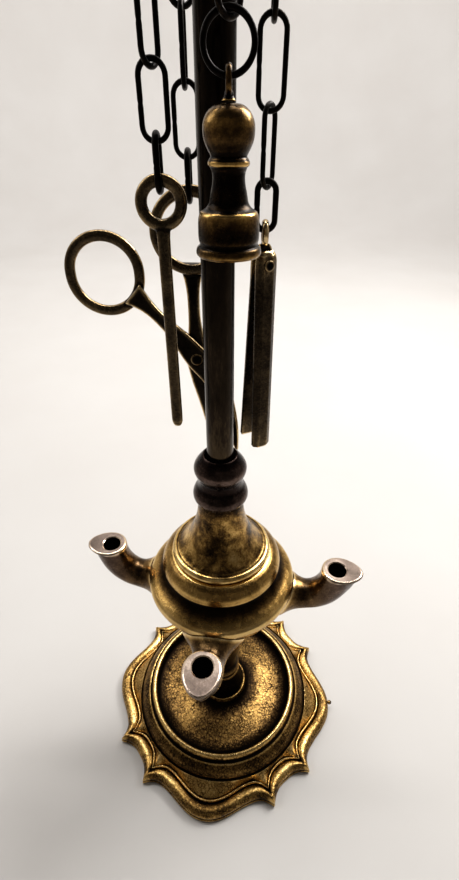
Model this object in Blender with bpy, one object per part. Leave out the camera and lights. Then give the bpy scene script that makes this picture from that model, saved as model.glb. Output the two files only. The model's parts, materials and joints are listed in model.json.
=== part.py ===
"""A brass table oil lamp: a scalloped foot, a turned pedestal, an oil font with four wick
spouts, a lid that slides on the centre rod, and four wick tools on chains from a wheel.

The lamp stands on z = 0 with its rod on the Z axis. Sizes are in millimetres until an object
is made, and +X is the right-hand spout's side. The front spout points to -Y.
"""

import math

import bmesh
import bpy
from mathutils import Matrix, Vector

MM = 0.001
GAP = 0.3

# Foot: an outline of four lobes, with a pair of cusps at each corner between them.
FOOT_LOBE_R = 68.7
FOOT_CUSP_R = 67.4
FOOT_CORNER_R = 61.5
FOOT_WAIST_R = 62.3
FOOT_CUSP_DEG = 11.4
FOOT_WAIST_DEG = 20.5
FOOT_TURN_DEG = 37.5
FOOT_SEAT_Z = 20.0
FOOT_BORE_R = 4.3

# Rod, with a stud at each end.
ROD_R = 5.5
STUD_R = 3.8
ROD_BORE_R = 5.8
ROD_BOTTOM_Z = 27.3
ROD_TOP_Z = 364.0
STUD_BOTTOM_Z = 4.0
STUD_TOP_Z = 383.0

# Font and lid.
FONT_SEAT_Z = 98.0
FONT_TUBE_R = 8.4
FONT_BORE_R = 6.1
FONT_TUBE_TOP_Z = 150.0
LID_BORE_R = 6.2
FONT_RIM_Z = 141.6
LID_TOP_Z = 174.0
COLLAR_TOP_Z = 198.0

# Spouts: the mouth's centre, the bore and the beak's point.
SPOUT_TURNS_DEG = {"front": -96.0, "right": -8.2, "rear": 88.0, "left": 172.8}
SPOUT_PORT_Z = 116.0
SPOUT_BORE_R = 4.3
MOUTH_R = 56.4
MOUTH_Z = 135.5
MOUTH_LIP_R = 7.8
BEAK_LENGTH = 12.4

# Chain wheel, on which the top links ride, and the finial above it.
WHEEL_Z = 369.0
WHEEL_R = 16.5
WHEEL_WIRE_R = 1.4
WHEEL_HUB_R = 8.5
WHEEL_SPOKES_DEG = (-35.0, 55.0, 145.0, 235.0)
FINIAL_TOP_Z = 403.0
CARRY_RING_R = 14.0
CARRY_RING_WIRE_R = 2.3
CARRY_RING_Z = 421.0

# Chain wire and links.
LINK_WIRE = 1.5
LINK_WIDTH = 8.5
END_LINK_WIRE = 1.9
END_LINK_WIDTH = 7.6
END_LINK_SPAN = 13.8
CONTACT_GAP = 0.15

# Which way each tool hangs from the rod, and how high.
SNUFFER_DEG = -77.0
PICK_DEG = 190.0
SCISSORS_DEG = 124.5
TWEEZERS_DEG = 24.0
SNUFFER_RING_Z = 324.9
PICK_RING_Z = 291.0
SCISSOR_RING_Z = 280.4
TWEEZER_EYE_Z = 281.4

# Tools: the snuffer's, pick's and scissors' rings, the scissors' pivot and the tweezers' rivet.
PICK_RING_R = 5.9
PICK_RING_WIRE_R = 1.8
FINGER_RING_R = 12.2
FINGER_RING_WIRE_R = 1.9
SCISSOR_PIVOT_X = -9.0
SCISSOR_PIVOT_Z = 235.2
SCISSOR_HALF_T = 2.3
TWEEZER_EYE_R = 3.0
TWEEZER_EYE_WIRE_R = 1.1
TWEEZER_SPREAD_DEG = 115.5
TWEEZER_RIVET_Z = 272.0
TWEEZER_BAR_T = 2.7
TWEEZER_HINGE_OUT = 1.0
TWEEZER_BOTTOM_Z = 201.4

LATHE_STEPS = 24
SMALL_STEPS = 16


# ---------------------------------------------------------------- materials and objects

def make_material(name, colour, roughness):
    material = bpy.data.materials.new(name)
    material.use_nodes = True
    shader = material.node_tree.nodes["Principled BSDF"]
    shader.inputs["Base Color"].default_value = (*colour, 1.0)
    shader.inputs["Metallic"].default_value = 1.0
    shader.inputs["Roughness"].default_value = roughness
    return material


def make_object(name, mesh_data, material, origin=(0, 0, 0)):
    """An object with its origin at the given point. mesh_data is a bmesh in millimetres."""
    place = Vector(origin)
    bmesh.ops.recalc_face_normals(mesh_data, faces=mesh_data.faces)
    mesh_data.transform(Matrix.Scale(MM, 4) @ Matrix.Translation(-place))
    mesh = bpy.data.meshes.new(name)
    mesh_data.to_mesh(mesh)
    mesh_data.free()
    mesh.materials.append(material)
    mesh.shade_smooth()
    mesh.set_sharp_from_angle(angle=math.radians(40))
    made = bpy.data.objects.new(name, mesh)
    made.location = place * MM
    bpy.context.scene.collection.objects.link(made)
    return made


def combine(target, other, operation):
    """Joins another object to the target, or cuts it away. The other stays as a hidden helper."""
    other.hide_render = True
    other.display_type = "WIRE"
    modifier = target.modifiers.new(operation.title(), "BOOLEAN")
    modifier.operation = operation
    modifier.object = other


# ---------------------------------------------------------------- shapes

def skin_rings(rings, closed_path):
    """A closed mesh over rings of points, capped at both ends unless the path closes."""
    shape = bmesh.new()
    rows = [[shape.verts.new(point) for point in ring] for ring in rings]
    pairs = list(zip(rows, rows[1:]))
    if closed_path:
        pairs.append((rows[-1], rows[0]))
    for low, high in pairs:
        for i in range(len(low)):
            j = (i + 1) % len(low)
            shape.faces.new((low[i], low[j], high[j], high[i]))
    if not closed_path:
        shape.faces.new(rows[0])
        shape.faces.new(rows[-1])
    return shape


def turned(profile, steps=LATHE_STEPS, centre=(0, 0)):
    """A body turned about Z. The profile is a closed loop of (radius, z); a point at radius 0
    is a pole."""
    shape = bmesh.new()
    rows = []
    for radius, z in profile:
        if radius == 0:
            rows.append([shape.verts.new((centre[0], centre[1], z))])
            continue
        angles = (math.tau * i / steps for i in range(steps))
        rows.append([
            shape.verts.new((centre[0] + radius * math.cos(a), centre[1] + radius * math.sin(a), z))
            for a in angles
        ])
    for low, high in zip(rows, rows[1:] + rows[:1]):
        if len(low) == 1 and len(high) == 1:
            continue
        for i in range(steps):
            j = (i + 1) % steps
            corners = [low[i % len(low)], low[j % len(low)], high[j % len(high)], high[i % len(high)]]
            shape.faces.new(list(dict.fromkeys(corners)))
    return shape


def heading(degrees):
    angle = math.radians(degrees)
    return Vector((math.cos(angle), math.sin(angle), 0))


def oval_loop(centre, turn_deg, half_width, straight, section_r, bend_steps=5, sides=6, depth_r=None):
    """A closed loop of wire in the upright plane at this heading: two half-rounds joined by
    straight sides. section_r is the wire's radius in the plane, and depth_r across it."""
    across = heading(turn_deg)
    through = heading(turn_deg + 90)
    up = Vector((0, 0, 1))
    depth = section_r if depth_r is None else depth_r
    spine = []
    for end in (1, -1):
        for i in range(bend_steps + 1):
            angle = math.pi * i / bend_steps + (0 if end == 1 else math.pi)
            outward = across * math.cos(angle) + up * math.sin(angle)
            middle = Vector(centre) + up * (end * straight / 2) + outward * half_width
            if straight or i or end == 1:
                spine.append((middle, outward))
    if not straight:
        spine.pop()
    rings = []
    for middle, outward in spine:
        angles = (math.tau * (k + 0.5) / sides for k in range(sides))
        rings.append([
            middle + outward * (section_r * math.cos(a)) + through * (depth * math.sin(a))
            for a in angles
        ])
    return skin_rings(rings, closed_path=True)


def rod_between(start, end, radius, sides=12):
    """A straight round bar from one point to another."""
    start, end = Vector(start), Vector(end)
    along = (end - start).normalized()
    side = along.orthogonal().normalized()
    other = along.cross(side)
    rings = []
    for middle in (start, end):
        angles = (math.tau * i / sides for i in range(sides))
        rings.append([middle + (side * math.cos(a) + other * math.sin(a)) * radius for a in angles])
    return skin_rings(rings, closed_path=False)


def ribbon(spine, pivot, y_low, y_high):
    """A flat bar that follows (x, z, half width) points about a pivot, between two depths."""
    left, right = [], []
    for i, (x, z, half) in enumerate(spine):
        before = spine[max(i - 1, 0)]
        after = spine[min(i + 1, len(spine) - 1)]
        run = Vector((after[0] - before[0], after[1] - before[1])).normalized()
        left.append((pivot[0] + x - run.y * half, pivot[1] + z + run.x * half))
        right.append((pivot[0] + x + run.y * half, pivot[1] + z - run.x * half))
    outline = left + right[::-1]
    rings = [[(x, y, z) for x, z in outline] for y in (y_low, y_high)]
    return skin_rings(rings, closed_path=False)


# ---------------------------------------------------------------- foot, pedestal and rod

def foot_outline(turn_deg):
    """The outline's radius at an angle from a corner's middle, which repeats each 90 degrees."""
    turn = abs((turn_deg + 45) % 90 - 45)
    if turn <= FOOT_CUSP_DEG:
        return FOOT_CORNER_R + (FOOT_CUSP_R - FOOT_CORNER_R) * (turn / FOOT_CUSP_DEG) ** 2.2
    if turn <= FOOT_WAIST_DEG:
        part = (FOOT_WAIST_DEG - turn) / (FOOT_WAIST_DEG - FOOT_CUSP_DEG)
        return FOOT_WAIST_R + (FOOT_CUSP_R - FOOT_WAIST_R) * part ** 2
    part = (turn - FOOT_WAIST_DEG) / (45 - FOOT_WAIST_DEG)
    return FOOT_WAIST_R + (FOOT_LOBE_R - FOOT_WAIST_R) * (0.5 - 0.5 * math.cos(math.pi * part))


def make_foot(material):
    half_corner = (0, 6, 9.5, FOOT_CUSP_DEG, 14, FOOT_WAIST_DEG, 29, 38)
    half_lobe = tuple(90 - a for a in half_corner[:0:-1])
    sector = half_corner + (45,) + half_lobe
    turns = [corner * 90 + a for corner in range(4) for a in sector]
    # Underside: bore, boss, dished web and the wall down to the rim. (radius, height)
    under = [(FOOT_BORE_R, 15.0), (14, 14.6), (34, 10.6), (41, 14.6), (50, 7.0)]
    # Rim moulding: (distance in from the outline, height)
    moulding = [(9.5, 3.0), (5.5, 0), (0.6, 0), (0, 1.0), (0, 3.4), (0.9, 5.0), (3.0, 6.1),
                (5.6, 5.9), (7.2, 4.9), (7.9, 6.3)]
    # Top: slope, groove, banded crest, dish and centre cone.
    top = [(52.9, 10.2), (51.9, 9.8), (51.0, 11.2), (47.4, 16.2), (45.0, 18.3), (43.1, 18.9),
           (41.5, 18.0), (40.2, 15.4), (35.5, 13.9), (25, 14.7), (18.5, 15.9), (13.8, FOOT_SEAT_Z),
           (FOOT_BORE_R, FOOT_SEAT_Z)]
    rings = []
    for radius, z in under:
        rings.append([heading(a + FOOT_TURN_DEG) * radius + Vector((0, 0, z)) for a in turns])
    for inset, z in moulding:
        rings.append([
            heading(a + FOOT_TURN_DEG) * (foot_outline(a) - inset) + Vector((0, 0, z)) for a in turns
        ])
    for radius, z in top:
        rings.append([heading(a + FOOT_TURN_DEG) * radius + Vector((0, 0, z)) for a in turns])
    return make_object("foot", skin_rings(rings, closed_path=True), material)


def make_foot_fasteners(material):
    washer_top = 15.0 - GAP
    washer = [(STUD_R + GAP, washer_top), (9, washer_top), (9, washer_top - 1.5),
              (STUD_R + GAP, washer_top - 1.5)]
    make_object("foot_washer", turned(washer, SMALL_STEPS), material)
    nut_top = washer_top - 1.5 - GAP
    nut_bore_r = (STUD_R + GAP) / math.cos(math.pi / 6)
    nut = [(nut_bore_r, nut_top), (8, nut_top), (8, nut_top - 6), (nut_bore_r, nut_top - 6)]
    make_object("foot_nut", turned(nut, 6), material)


def make_pedestal(material):
    outer = [(13.2, FOOT_SEAT_Z + GAP), (13.0, 21.8), (11.6, 26), (10.3, 30.2), (9.5, 33.6),
             (10.0, 35.2), (9.3, 36.8), (9.9, 38.6), (9.2, 40.4), (8.3, 42.6), (8.2, 46),
             (8.9, 50.5), (10.8, 57), (12.9, 65), (13.7, 73), (13.0, 81), (10.8, 87.5),
             (8.9, 91.4), (9.2, 93.2), (12.4, 95), (12.8, 96.8), (12.2, FONT_SEAT_Z)]
    bore = [(ROD_BORE_R, FONT_SEAT_Z), (ROD_BORE_R, ROD_BOTTOM_Z - GAP),
            (FOOT_BORE_R, ROD_BOTTOM_Z - GAP), (FOOT_BORE_R, FOOT_SEAT_Z + GAP)]
    make_object("pedestal", turned(outer + bore, 20), material)


def make_rod(material):
    profile = [(0, STUD_TOP_Z), (STUD_R, STUD_TOP_Z), (STUD_R, ROD_TOP_Z), (ROD_R, ROD_TOP_Z),
               (ROD_R, ROD_BOTTOM_Z), (STUD_R, ROD_BOTTOM_Z), (STUD_R, STUD_BOTTOM_Z),
               (0, STUD_BOTTOM_Z)]
    make_object("rod", turned(profile), material)


# ---------------------------------------------------------------- font, spouts and lid

def make_font(material):
    outer = [(12.4, FONT_SEAT_Z + GAP), (12.9, 99.6), (11.6, 101.6), (13.6, 103.6), (20.5, 105.6),
             (27.5, 109.6), (33.0, 115.2), (35.9, 120.6), (36.3, 123.6), (35.0, 126.0),
             (32.0, 127.6), (29.2, 129.6), (27.9, 131.8), (28.0, 133.6), (28.6, 134.4),
             (28.5, 136.6), (27.0, 139.4), (24.6, 141.0), (23.0, FONT_RIM_Z)]
    inner = [(21.1, FONT_RIM_Z), (21.1, 139.4), (23.8, 137.0), (25.3, 132.8), (26.4, 129.8),
             (30.8, 125.6), (32.7, 121.5), (30.0, 116.6), (24.5, 111.6), (15.0, 107.6),
             (FONT_TUBE_R, 107.0)]
    tube = [(FONT_TUBE_R, FONT_TUBE_TOP_Z), (FONT_BORE_R, FONT_TUBE_TOP_Z),
            (FONT_BORE_R, FONT_SEAT_Z + GAP)]
    bowl = make_object("font_bowl", turned(outer + inner + tube, 30), material)
    for name, turn in SPOUT_TURNS_DEG.items():
        port = rod_between(heading(turn) * 25 + Vector((0, 0, SPOUT_PORT_Z + 0.4)),
                           heading(turn) * 42 + Vector((0, 0, SPOUT_PORT_Z - 0.6)), SPOUT_BORE_R)
        combine(bowl, make_object("port_cutter_" + name, port, material), "DIFFERENCE")
    return bowl


def beak_section(angle, lip, beak):
    """A teardrop's radius: a circle of radius lip, with a point at distance beak on its outer side."""
    if beak <= lip:
        return lip
    tangent = math.acos(lip / beak)
    turn = abs((angle + math.pi) % math.tau - math.pi)
    return lip / math.cos(tangent - turn) if turn < tangent else lip


def make_spout(name, turn, seat, material):
    """A bent tube from the bowl's side up to a flat teardrop mouth, bored right through."""
    out, up = heading(turn), Vector((0, 0, 1))
    side = heading(turn + 90)
    # (distance out, height, direction of travel in degrees above level, radius, beak)
    stations = [(29.0, 116.2, -8, 8.6, 0), (35.5, 115.3, -6, 7.9, 0), (41, 114.9, 4, 7.3, 0),
                (46.5, 116.0, 22, 7.2, 7.6), (51.3, 119.4, 45, 7.3, 8.4), (54.6, 124.4, 66, 7.4, 9.4),
                (56.1, 130.2, 82, 7.6, 10.8), (MOUTH_R, MOUTH_Z, 90, MOUTH_LIP_R, BEAK_LENGTH)]
    sides, bore_sides = 14, 10
    shell = []
    bore = []
    for reach, z, climb, radius, beak in stations:
        middle = out * reach + up * z
        lean = math.radians(climb)
        outward = out * math.sin(lean) - up * math.cos(lean)
        turns = [math.tau * i / sides for i in range(sides)]
        shell.append([
            middle + (outward * math.cos(a) + side * math.sin(a)) * beak_section(a, radius, beak)
            for a in turns
        ])
        turns = [math.tau * i / bore_sides for i in range(bore_sides)]
        bore.append([middle + (outward * math.cos(a) + side * math.sin(a)) * SPOUT_BORE_R for a in turns])
    bore[0] = [point - out * 3 for point in bore[0]]
    bore[-1] = [point + up for point in bore[-1]]
    spout = make_object("spout_" + name, skin_rings(shell, closed_path=False), material)
    combine(spout, make_object("bore_cutter_" + name, skin_rings(bore, False), material), "DIFFERENCE")
    combine(spout, seat, "DIFFERENCE")


def make_spouts(material):
    """The seat is the bowl's flank with the gap added, and trims each spout's inner end."""
    flank = [(0, 104.0), (20.6, 105.3), (27.7, 109.2), (33.3, 115.0), (36.25, 120.5),
             (36.6, 123.8), (35.3, 126.4), (30.2, 130.0), (0, 130.0)]
    seat = make_object("seat_cutter", turned(flank, 30), material)
    for name, turn in SPOUT_TURNS_DEG.items():
        make_spout(name, turn, seat, material)


def make_lid(lid_material, collar_material):
    rim_z = FONT_RIM_Z + GAP
    outer = [(22.0, rim_z), (23.0, 142.3), (23.4, 143.4), (23.1, 144.7), (22.1, 145.6),
             (20.9, 145.8), (19.3, 146.9), (17.0, 149.5), (14.9, 152.9), (13.2, 156.8),
             (11.9, 160.9), (10.9, 165.2), (10.2, 169.4), (9.7, LID_TOP_Z)]
    inner = [(LID_BORE_R, LID_TOP_Z), (LID_BORE_R, 163.0), (8.2, 158.2), (10.4, 153.8),
             (13.8, 149.6), (18.7, 144.6), (18.7, 139.2), (20.7, 139.2), (20.7, rim_z)]
    make_object("lid", turned(outer + inner), lid_material)
    foot_z = LID_TOP_Z + GAP
    rings = [(9.7, foot_z), (10.9, 174.8), (11.8, 175.9), (12.1, 177.4),
             (11.7, 179.4), (10.8, 181.1), (9.9, 182.7), (9.5, 184.6), (9.7, 186.6),
             (10.4, 188.4), (11.1, 190.2), (11.3, 191.8), (10.9, 193.4), (10.0, 194.9),
             (8.8, 196.5), (7.6, COLLAR_TOP_Z)]
    bore = [(6.7, COLLAR_TOP_Z), (LID_BORE_R, 197.0), (LID_BORE_R, foot_z)]
    make_object("lid_collar", turned(rings + bore), collar_material)


# ---------------------------------------------------------------- wheel, finial and carry ring

def make_wheel(material):
    hub_low, hub_high = ROD_TOP_Z + GAP, 374.0
    hub = [(FOOT_BORE_R, hub_low), (WHEEL_HUB_R - 0.8, hub_low), (WHEEL_HUB_R, 366.0),
           (WHEEL_HUB_R, 372.0), (WHEEL_HUB_R - 0.8, hub_high), (FOOT_BORE_R, hub_high)]
    wheel = make_object("chain_wheel", turned(hub, SMALL_STEPS), material)
    steps, sides = 32, 6
    rim = []
    for i in range(steps):
        out = heading(360 * i / steps)
        angles = (math.tau * k / sides for k in range(sides))
        rim.append([
            out * (WHEEL_R + WHEEL_WIRE_R * math.cos(a))
            + Vector((0, 0, WHEEL_Z + WHEEL_WIRE_R * math.sin(a)))
            for a in angles
        ])
    combine(wheel, make_object("wheel_rim", skin_rings(rim, closed_path=True), material), "UNION")
    for i, turn in enumerate(WHEEL_SPOKES_DEG):
        level = Vector((0, 0, WHEEL_Z))
        out = heading(turn)
        spoke = rod_between(out * (WHEEL_HUB_R - 1.5) + level, out * WHEEL_R + level, 1.2, 8)
        combine(wheel, make_object(f"wheel_spoke_{i + 1}", spoke, material), "UNION")


def make_finial(material):
    base_z = 374.0 + GAP
    profile = [(0, FINIAL_TOP_Z), (3.6, FINIAL_TOP_Z), (4.4, 402.0), (4.2, 400.4), (5.6, 398.8),
               (9.0, 395.4), (10.6, 391.2), (10.2, 387.4), (7.6, 383.6), (5.9, 381.2), (6.2, 379.6),
               (8.8, 378.2), (9.2, 376.6), (8.6, base_z), (FOOT_BORE_R, base_z), (FOOT_BORE_R, 385.0),
               (0, 385.0)]
    make_object("finial", turned(profile, 20), material)


def make_carry_ring(material):
    stem = [(0, 406.8), (2.2, 406.4), (2.6, 405.4), (4.2, 404.6), (4.2, FINIAL_TOP_Z + GAP),
            (0, FINIAL_TOP_Z + GAP)]
    ring = make_object("carry_ring", turned(stem, SMALL_STEPS), material)
    loop = oval_loop((0, 0, CARRY_RING_Z), 0, CARRY_RING_R, 0, CARRY_RING_WIRE_R, 14, 8)
    combine(ring, make_object("carry_loop", loop, material), "UNION")


# ---------------------------------------------------------------- chains

def below_wheel(turn_deg):
    """The X and Y of what hangs straight down from the wheel's rim."""
    return heading(turn_deg).xy * WHEEL_R


def make_chain(tool, place, lowest_z, end_link, spans, turns, material):
    """Hangs links from the wheel down to a tool. lowest_z is the lowest wire's centre, spans are
    the links' wire-to-wire lengths, lowest link first, and turns are their headings."""
    z = lowest_z
    count = len(spans)
    for i, (span, turn) in enumerate(zip(spans, turns)):
        small = end_link and i == 0
        wire = END_LINK_WIRE if small else LINK_WIRE
        width = END_LINK_WIDTH if small else LINK_WIDTH
        half = (width - wire) / 2
        name = f"{tool}_end_link" if small else f"{tool}_link_{count - i}"
        middle = (place[0], place[1], z + span / 2)
        loop = oval_loop(middle, turn, half, span - 2 * half, wire / 2)
        make_object(name, loop, material, origin=(place[0], place[1], z + span))
        next_wire = LINK_WIRE
        z += span - (wire + next_wire) / 2 - CONTACT_GAP


def even_spans(lowest_z, end_link, count):
    """Equal links that fill the height between a tool and the wheel."""
    top_z = WHEEL_Z + WHEEL_WIRE_R + LINK_WIRE / 2 + CONTACT_GAP
    height = top_z - lowest_z
    if end_link:
        height -= END_LINK_SPAN - (END_LINK_WIRE + LINK_WIRE) / 2 - CONTACT_GAP
    span = (height + (count - 1) * (LINK_WIRE + CONTACT_GAP)) / count
    return ([END_LINK_SPAN] if end_link else []) + [span] * count


# ---------------------------------------------------------------- wick tools

def make_snuffer(material, link_material):
    x, y = below_wheel(SNUFFER_DEG)
    cavity = [(0, 289.4), (5.0, 288.8), (6.9, 286.4), (7.3, 279.5)]
    cup = [(8.7, 279.5), (9.1, 280.6), (8.7, 282.1), (8.0, 282.8), (8.3, 284.0), (8.3, 288.8),
           (7.6, 290.6), (6.2, 291.6), (5.1, 292.6), (4.9, 294.2), (4.2, 297.6), (4.5, 300.2),
           (5.3, 301.3), (5.3, 302.3), (4.4, 303.0)]
    knob = [(5.2, 304.5), (6.2, 306.4), (6.5, 308.5), (6.2, 310.6), (5.0, 312.6), (3.0, 313.8), (0, 314.0)]
    snuffer = turned(cavity + cup + knob, SMALL_STEPS, (x, y))
    make_object("snuffer", snuffer, material, origin=(x, y, SNUFFER_RING_Z - 5.85))
    stem = turned([(0, 316.2), (1.1, 316.2), (1.5, 314.0 + GAP), (0, 314.0 + GAP)], 12, (x, y))
    eye = make_object("snuffer_eye", stem, material, origin=(x, y, SNUFFER_RING_Z - 5.85))
    loop = oval_loop((x, y, 318.2), 90, 2.55, 0, 0.8, 8, 6)
    combine(eye, make_object("snuffer_eye_loop", loop, material), "UNION")
    ring = oval_loop((x, y, SNUFFER_RING_Z), 0, 5.85, 0, 0.75, 10, 6)
    make_object("snuffer_ring", ring, link_material, origin=(x, y, SNUFFER_RING_Z + 5.85))


def make_pick(material):
    x, y = below_wheel(PICK_DEG)
    hang = (x, y, PICK_RING_Z + 4.1 - END_LINK_WIRE / 2 - CONTACT_GAP)
    # (height, half width, half depth) down the shank to a rounded point
    stations = [(285.6, 2.1, 1.4), (278, 2.0, 1.4), (240, 2.1, 1.4), (217, 2.1, 1.4),
                (214.6, 1.6, 1.1), (213.6, 0.7, 0.6)]
    rings = []
    for z, wide, deep in stations:
        angles = (math.tau * i / 8 + math.pi / 8 for i in range(8))
        rings.append([(x + wide * math.cos(a), y + deep * math.sin(a), z) for a in angles])
    pick = make_object("pick", skin_rings(rings, closed_path=False), material, origin=hang)
    loop = oval_loop((x, y, PICK_RING_Z), 0, PICK_RING_R, 0, PICK_RING_WIRE_R, 10, 8, depth_r=1.5)
    combine(pick, make_object("pick_loop", loop, material), "UNION")


def make_scissors(material):
    pivot = (SCISSOR_PIVOT_X, SCISSOR_PIVOT_Z)
    hang_x, middle_y = below_wheel(SCISSORS_DEG)
    rivet_place = (pivot[0], middle_y, pivot[1])
    halves = {
        "scissor_blade_front": dict(
            layer=(middle_y - SCISSOR_HALF_T, middle_y - GAP / 2), ring_x=-40.5, ring_z=266.4,
            ring_straight=1.3,
            spine=[(-21.0, 23.6, 3.2), (-17.0, 19.8, 2.5), (-13.4, 16.0, 2.2), (-9.6, 12.0, 2.7),
                   (-5.2, 6.6, 3.7), (0, 0, 4.6), (6.8, -9, 4.4),
                   (11.6, -21, 3.4), (14.6, -34, 2.4), (16.0, -43.6, 0.8)]),
        "scissor_blade_rear": dict(
            layer=(middle_y + GAP / 2, middle_y + SCISSOR_HALF_T), ring_x=hang_x, ring_z=SCISSOR_RING_Z,
            ring_straight=0,
            spine=[(-0.7, 33.0, 3.4), (-0.7, 27.0, 2.5), (-0.4, 12, 2.4), (0, 4, 3.8), (0.6, -4, 4.4),
                   (3.2, -18, 3.8), (5.4, -32, 2.6), (6.8, -43.6, 0.8)]),
    }
    for name, half in halves.items():
        low, high = half["layer"]
        blade = make_object(name, ribbon(half["spine"], pivot, low, high), material, origin=rivet_place)
        centre = (half["ring_x"], middle_y, half["ring_z"])
        loop = oval_loop(centre, 0, FINGER_RING_R, half["ring_straight"], FINGER_RING_WIRE_R, 12, 8,
                         depth_r=1.6)
        combine(blade, make_object(name + "_loop", loop, material), "UNION")
        hole = rod_between((pivot[0], low - 1, pivot[1]), (pivot[0], high + 1, pivot[1]), 1.5)
        combine(blade, make_object(name + "_hole", hole, material), "DIFFERENCE")
    reach = SCISSOR_HALF_T + GAP
    shank = rod_between((pivot[0], middle_y - reach - 0.5, pivot[1]),
                        (pivot[0], middle_y + reach + 0.5, pivot[1]), 1.2)
    rivet = make_object("scissor_rivet", shank, material, origin=rivet_place)
    for side, name in ((-1, "front"), (1, "rear")):
        head = rod_between((pivot[0], middle_y + side * reach, pivot[1]),
                           (pivot[0], middle_y + side * (reach + 0.9), pivot[1]), 2.4)
        combine(rivet, make_object(f"scissor_rivet_head_{name}", head, material), "UNION")


def make_tweezers(material):
    """Two bars of half-hexagon section, riveted each side of a tongue that ends in an eye."""
    place = heading(TWEEZERS_DEG) * WHEEL_R
    spread = heading(TWEEZER_SPREAD_DEG)
    wide = heading(TWEEZER_SPREAD_DEG - 90)
    eye_loop = oval_loop((place.x, place.y, TWEEZER_EYE_Z), 90, TWEEZER_EYE_R, 0, TWEEZER_EYE_WIRE_R, 8, 8)
    rings = []
    for z in (277.8, 267.5):
        corners = [(-2.8, -0.7), (2.8, -0.7), (2.8, 0.7), (-2.8, 0.7)]
        rings.append([place + wide * a + spread * b + Vector((0, 0, z)) for a, b in corners])
    hang = (place.x, place.y, TWEEZER_EYE_Z + 0.8)
    eye = make_object("tweezer_eye", skin_rings(rings, closed_path=False), material, origin=hang)
    combine(eye, make_object("tweezer_eye_loop", eye_loop, material), "UNION")
    hinge = place + Vector((0, 0, TWEEZER_RIVET_Z))
    bore = rod_between(hinge - spread * 12, hinge + spread * 12, 1.3, 10)
    cutter = make_object("tweezer_rivet_cutter", bore, material)
    combine(eye, cutter, "DIFFERENCE")
    # Half section: (across, outwards from the inner face)
    section = [(-3.8, 0), (3.8, 0), (3.8, 1.1), (1.9, TWEEZER_BAR_T), (-1.9, TWEEZER_BAR_T), (-3.8, 1.1)]
    # (height, inner face's distance from the middle, the middle's shift to the left)
    stations = [(276.2, 1.0, 0), (266.5, 1.05, 0), (TWEEZER_BOTTOM_Z, 4.5, 0.8)]
    for name, side in (("front", -1), ("rear", 1)):
        rings = []
        for z, inner, shift in stations:
            middle = place - Vector((shift, 0, -z))
            rings.append([middle + wide * a + spread * (side * (inner + b)) for a, b in section])
        arm = make_object("tweezer_arm_" + name, skin_rings(rings, closed_path=False), material,
                          origin=hinge + spread * (side * TWEEZER_HINGE_OUT))
        combine(arm, cutter, "DIFFERENCE")
    outside = TWEEZER_HINGE_OUT + TWEEZER_BAR_T + GAP
    rivet = make_object("tweezer_rivet", rod_between(hinge - spread * (outside + 0.3),
                                                     hinge + spread * (outside + 0.3), 1.0, 10),
                        material, origin=hinge)
    for side, name in ((-1, "front"), (1, "rear")):
        head = rod_between(hinge + spread * (side * outside),
                           hinge + spread * (side * (outside + 0.7)), 1.9, 10)
        combine(rivet, make_object(f"tweezer_rivet_head_{name}", head, material), "UNION")


def make_chains(material):
    snuffer_low = SNUFFER_RING_Z + 5.85 - LINK_WIRE - CONTACT_GAP
    make_chain("snuffer", below_wheel(SNUFFER_DEG), snuffer_low, False,
               even_spans(snuffer_low, False, 2), (45, 103), material)
    pick_low = PICK_RING_Z + PICK_RING_R - PICK_RING_WIRE_R - END_LINK_WIRE / 2 - CONTACT_GAP
    make_chain("pick", below_wheel(PICK_DEG), pick_low, True,
               even_spans(pick_low, True, 4), (90, 0, 62, 118, 10), material)
    scissors_low = (SCISSOR_RING_Z + FINGER_RING_R - FINGER_RING_WIRE_R - END_LINK_WIRE / 2
                    - CONTACT_GAP)
    make_chain("scissors", below_wheel(SCISSORS_DEG), scissors_low, True,
               even_spans(scissors_low, True, 4), (90, 0, 90, 30, 124), material)
    tweezers_low = (TWEEZER_EYE_Z + TWEEZER_EYE_R - TWEEZER_EYE_WIRE_R - END_LINK_WIRE / 2
                    - CONTACT_GAP)
    make_chain("tweezers", below_wheel(TWEEZERS_DEG), tweezers_low, True,
               even_spans(tweezers_low, True, 4), (0, 62, 0, 90, 24), material)


def main():
    for old in list(bpy.data.objects):
        bpy.data.objects.remove(old, do_unlink=True)
    golden = make_material("golden_brass", (0.36, 0.24, 0.09), 0.38)
    umber = make_material("umber_brass", (0.11, 0.08, 0.07), 0.40)
    steel_brown = make_material("dark_tool_brass", (0.10, 0.08, 0.05), 0.42)
    chain_brown = make_material("chain_brass", (0.05, 0.04, 0.03), 0.5)
    make_foot(golden)
    make_foot_fasteners(umber)
    make_pedestal(golden)
    make_rod(steel_brown)
    make_font(golden)
    make_spouts(golden)
    make_lid(golden, umber)
    make_wheel(steel_brown)
    make_finial(golden)
    make_carry_ring(golden)
    make_snuffer(steel_brown, chain_brown)
    make_pick(steel_brown)
    make_scissors(steel_brown)
    make_tweezers(steel_brown)
    make_chains(chain_brown)


main()
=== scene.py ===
"""The looks of the brass oil lamp: every CAD node is replaced by a finer mesh of the same size,
in aged brass with its own patina, wear and casting marks. Sizes are in millimetres until a piece
is made, and match part.py's."""

import json
import math

import bmesh
import bpy
import numpy as np
from mathutils import Matrix, Vector


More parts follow.
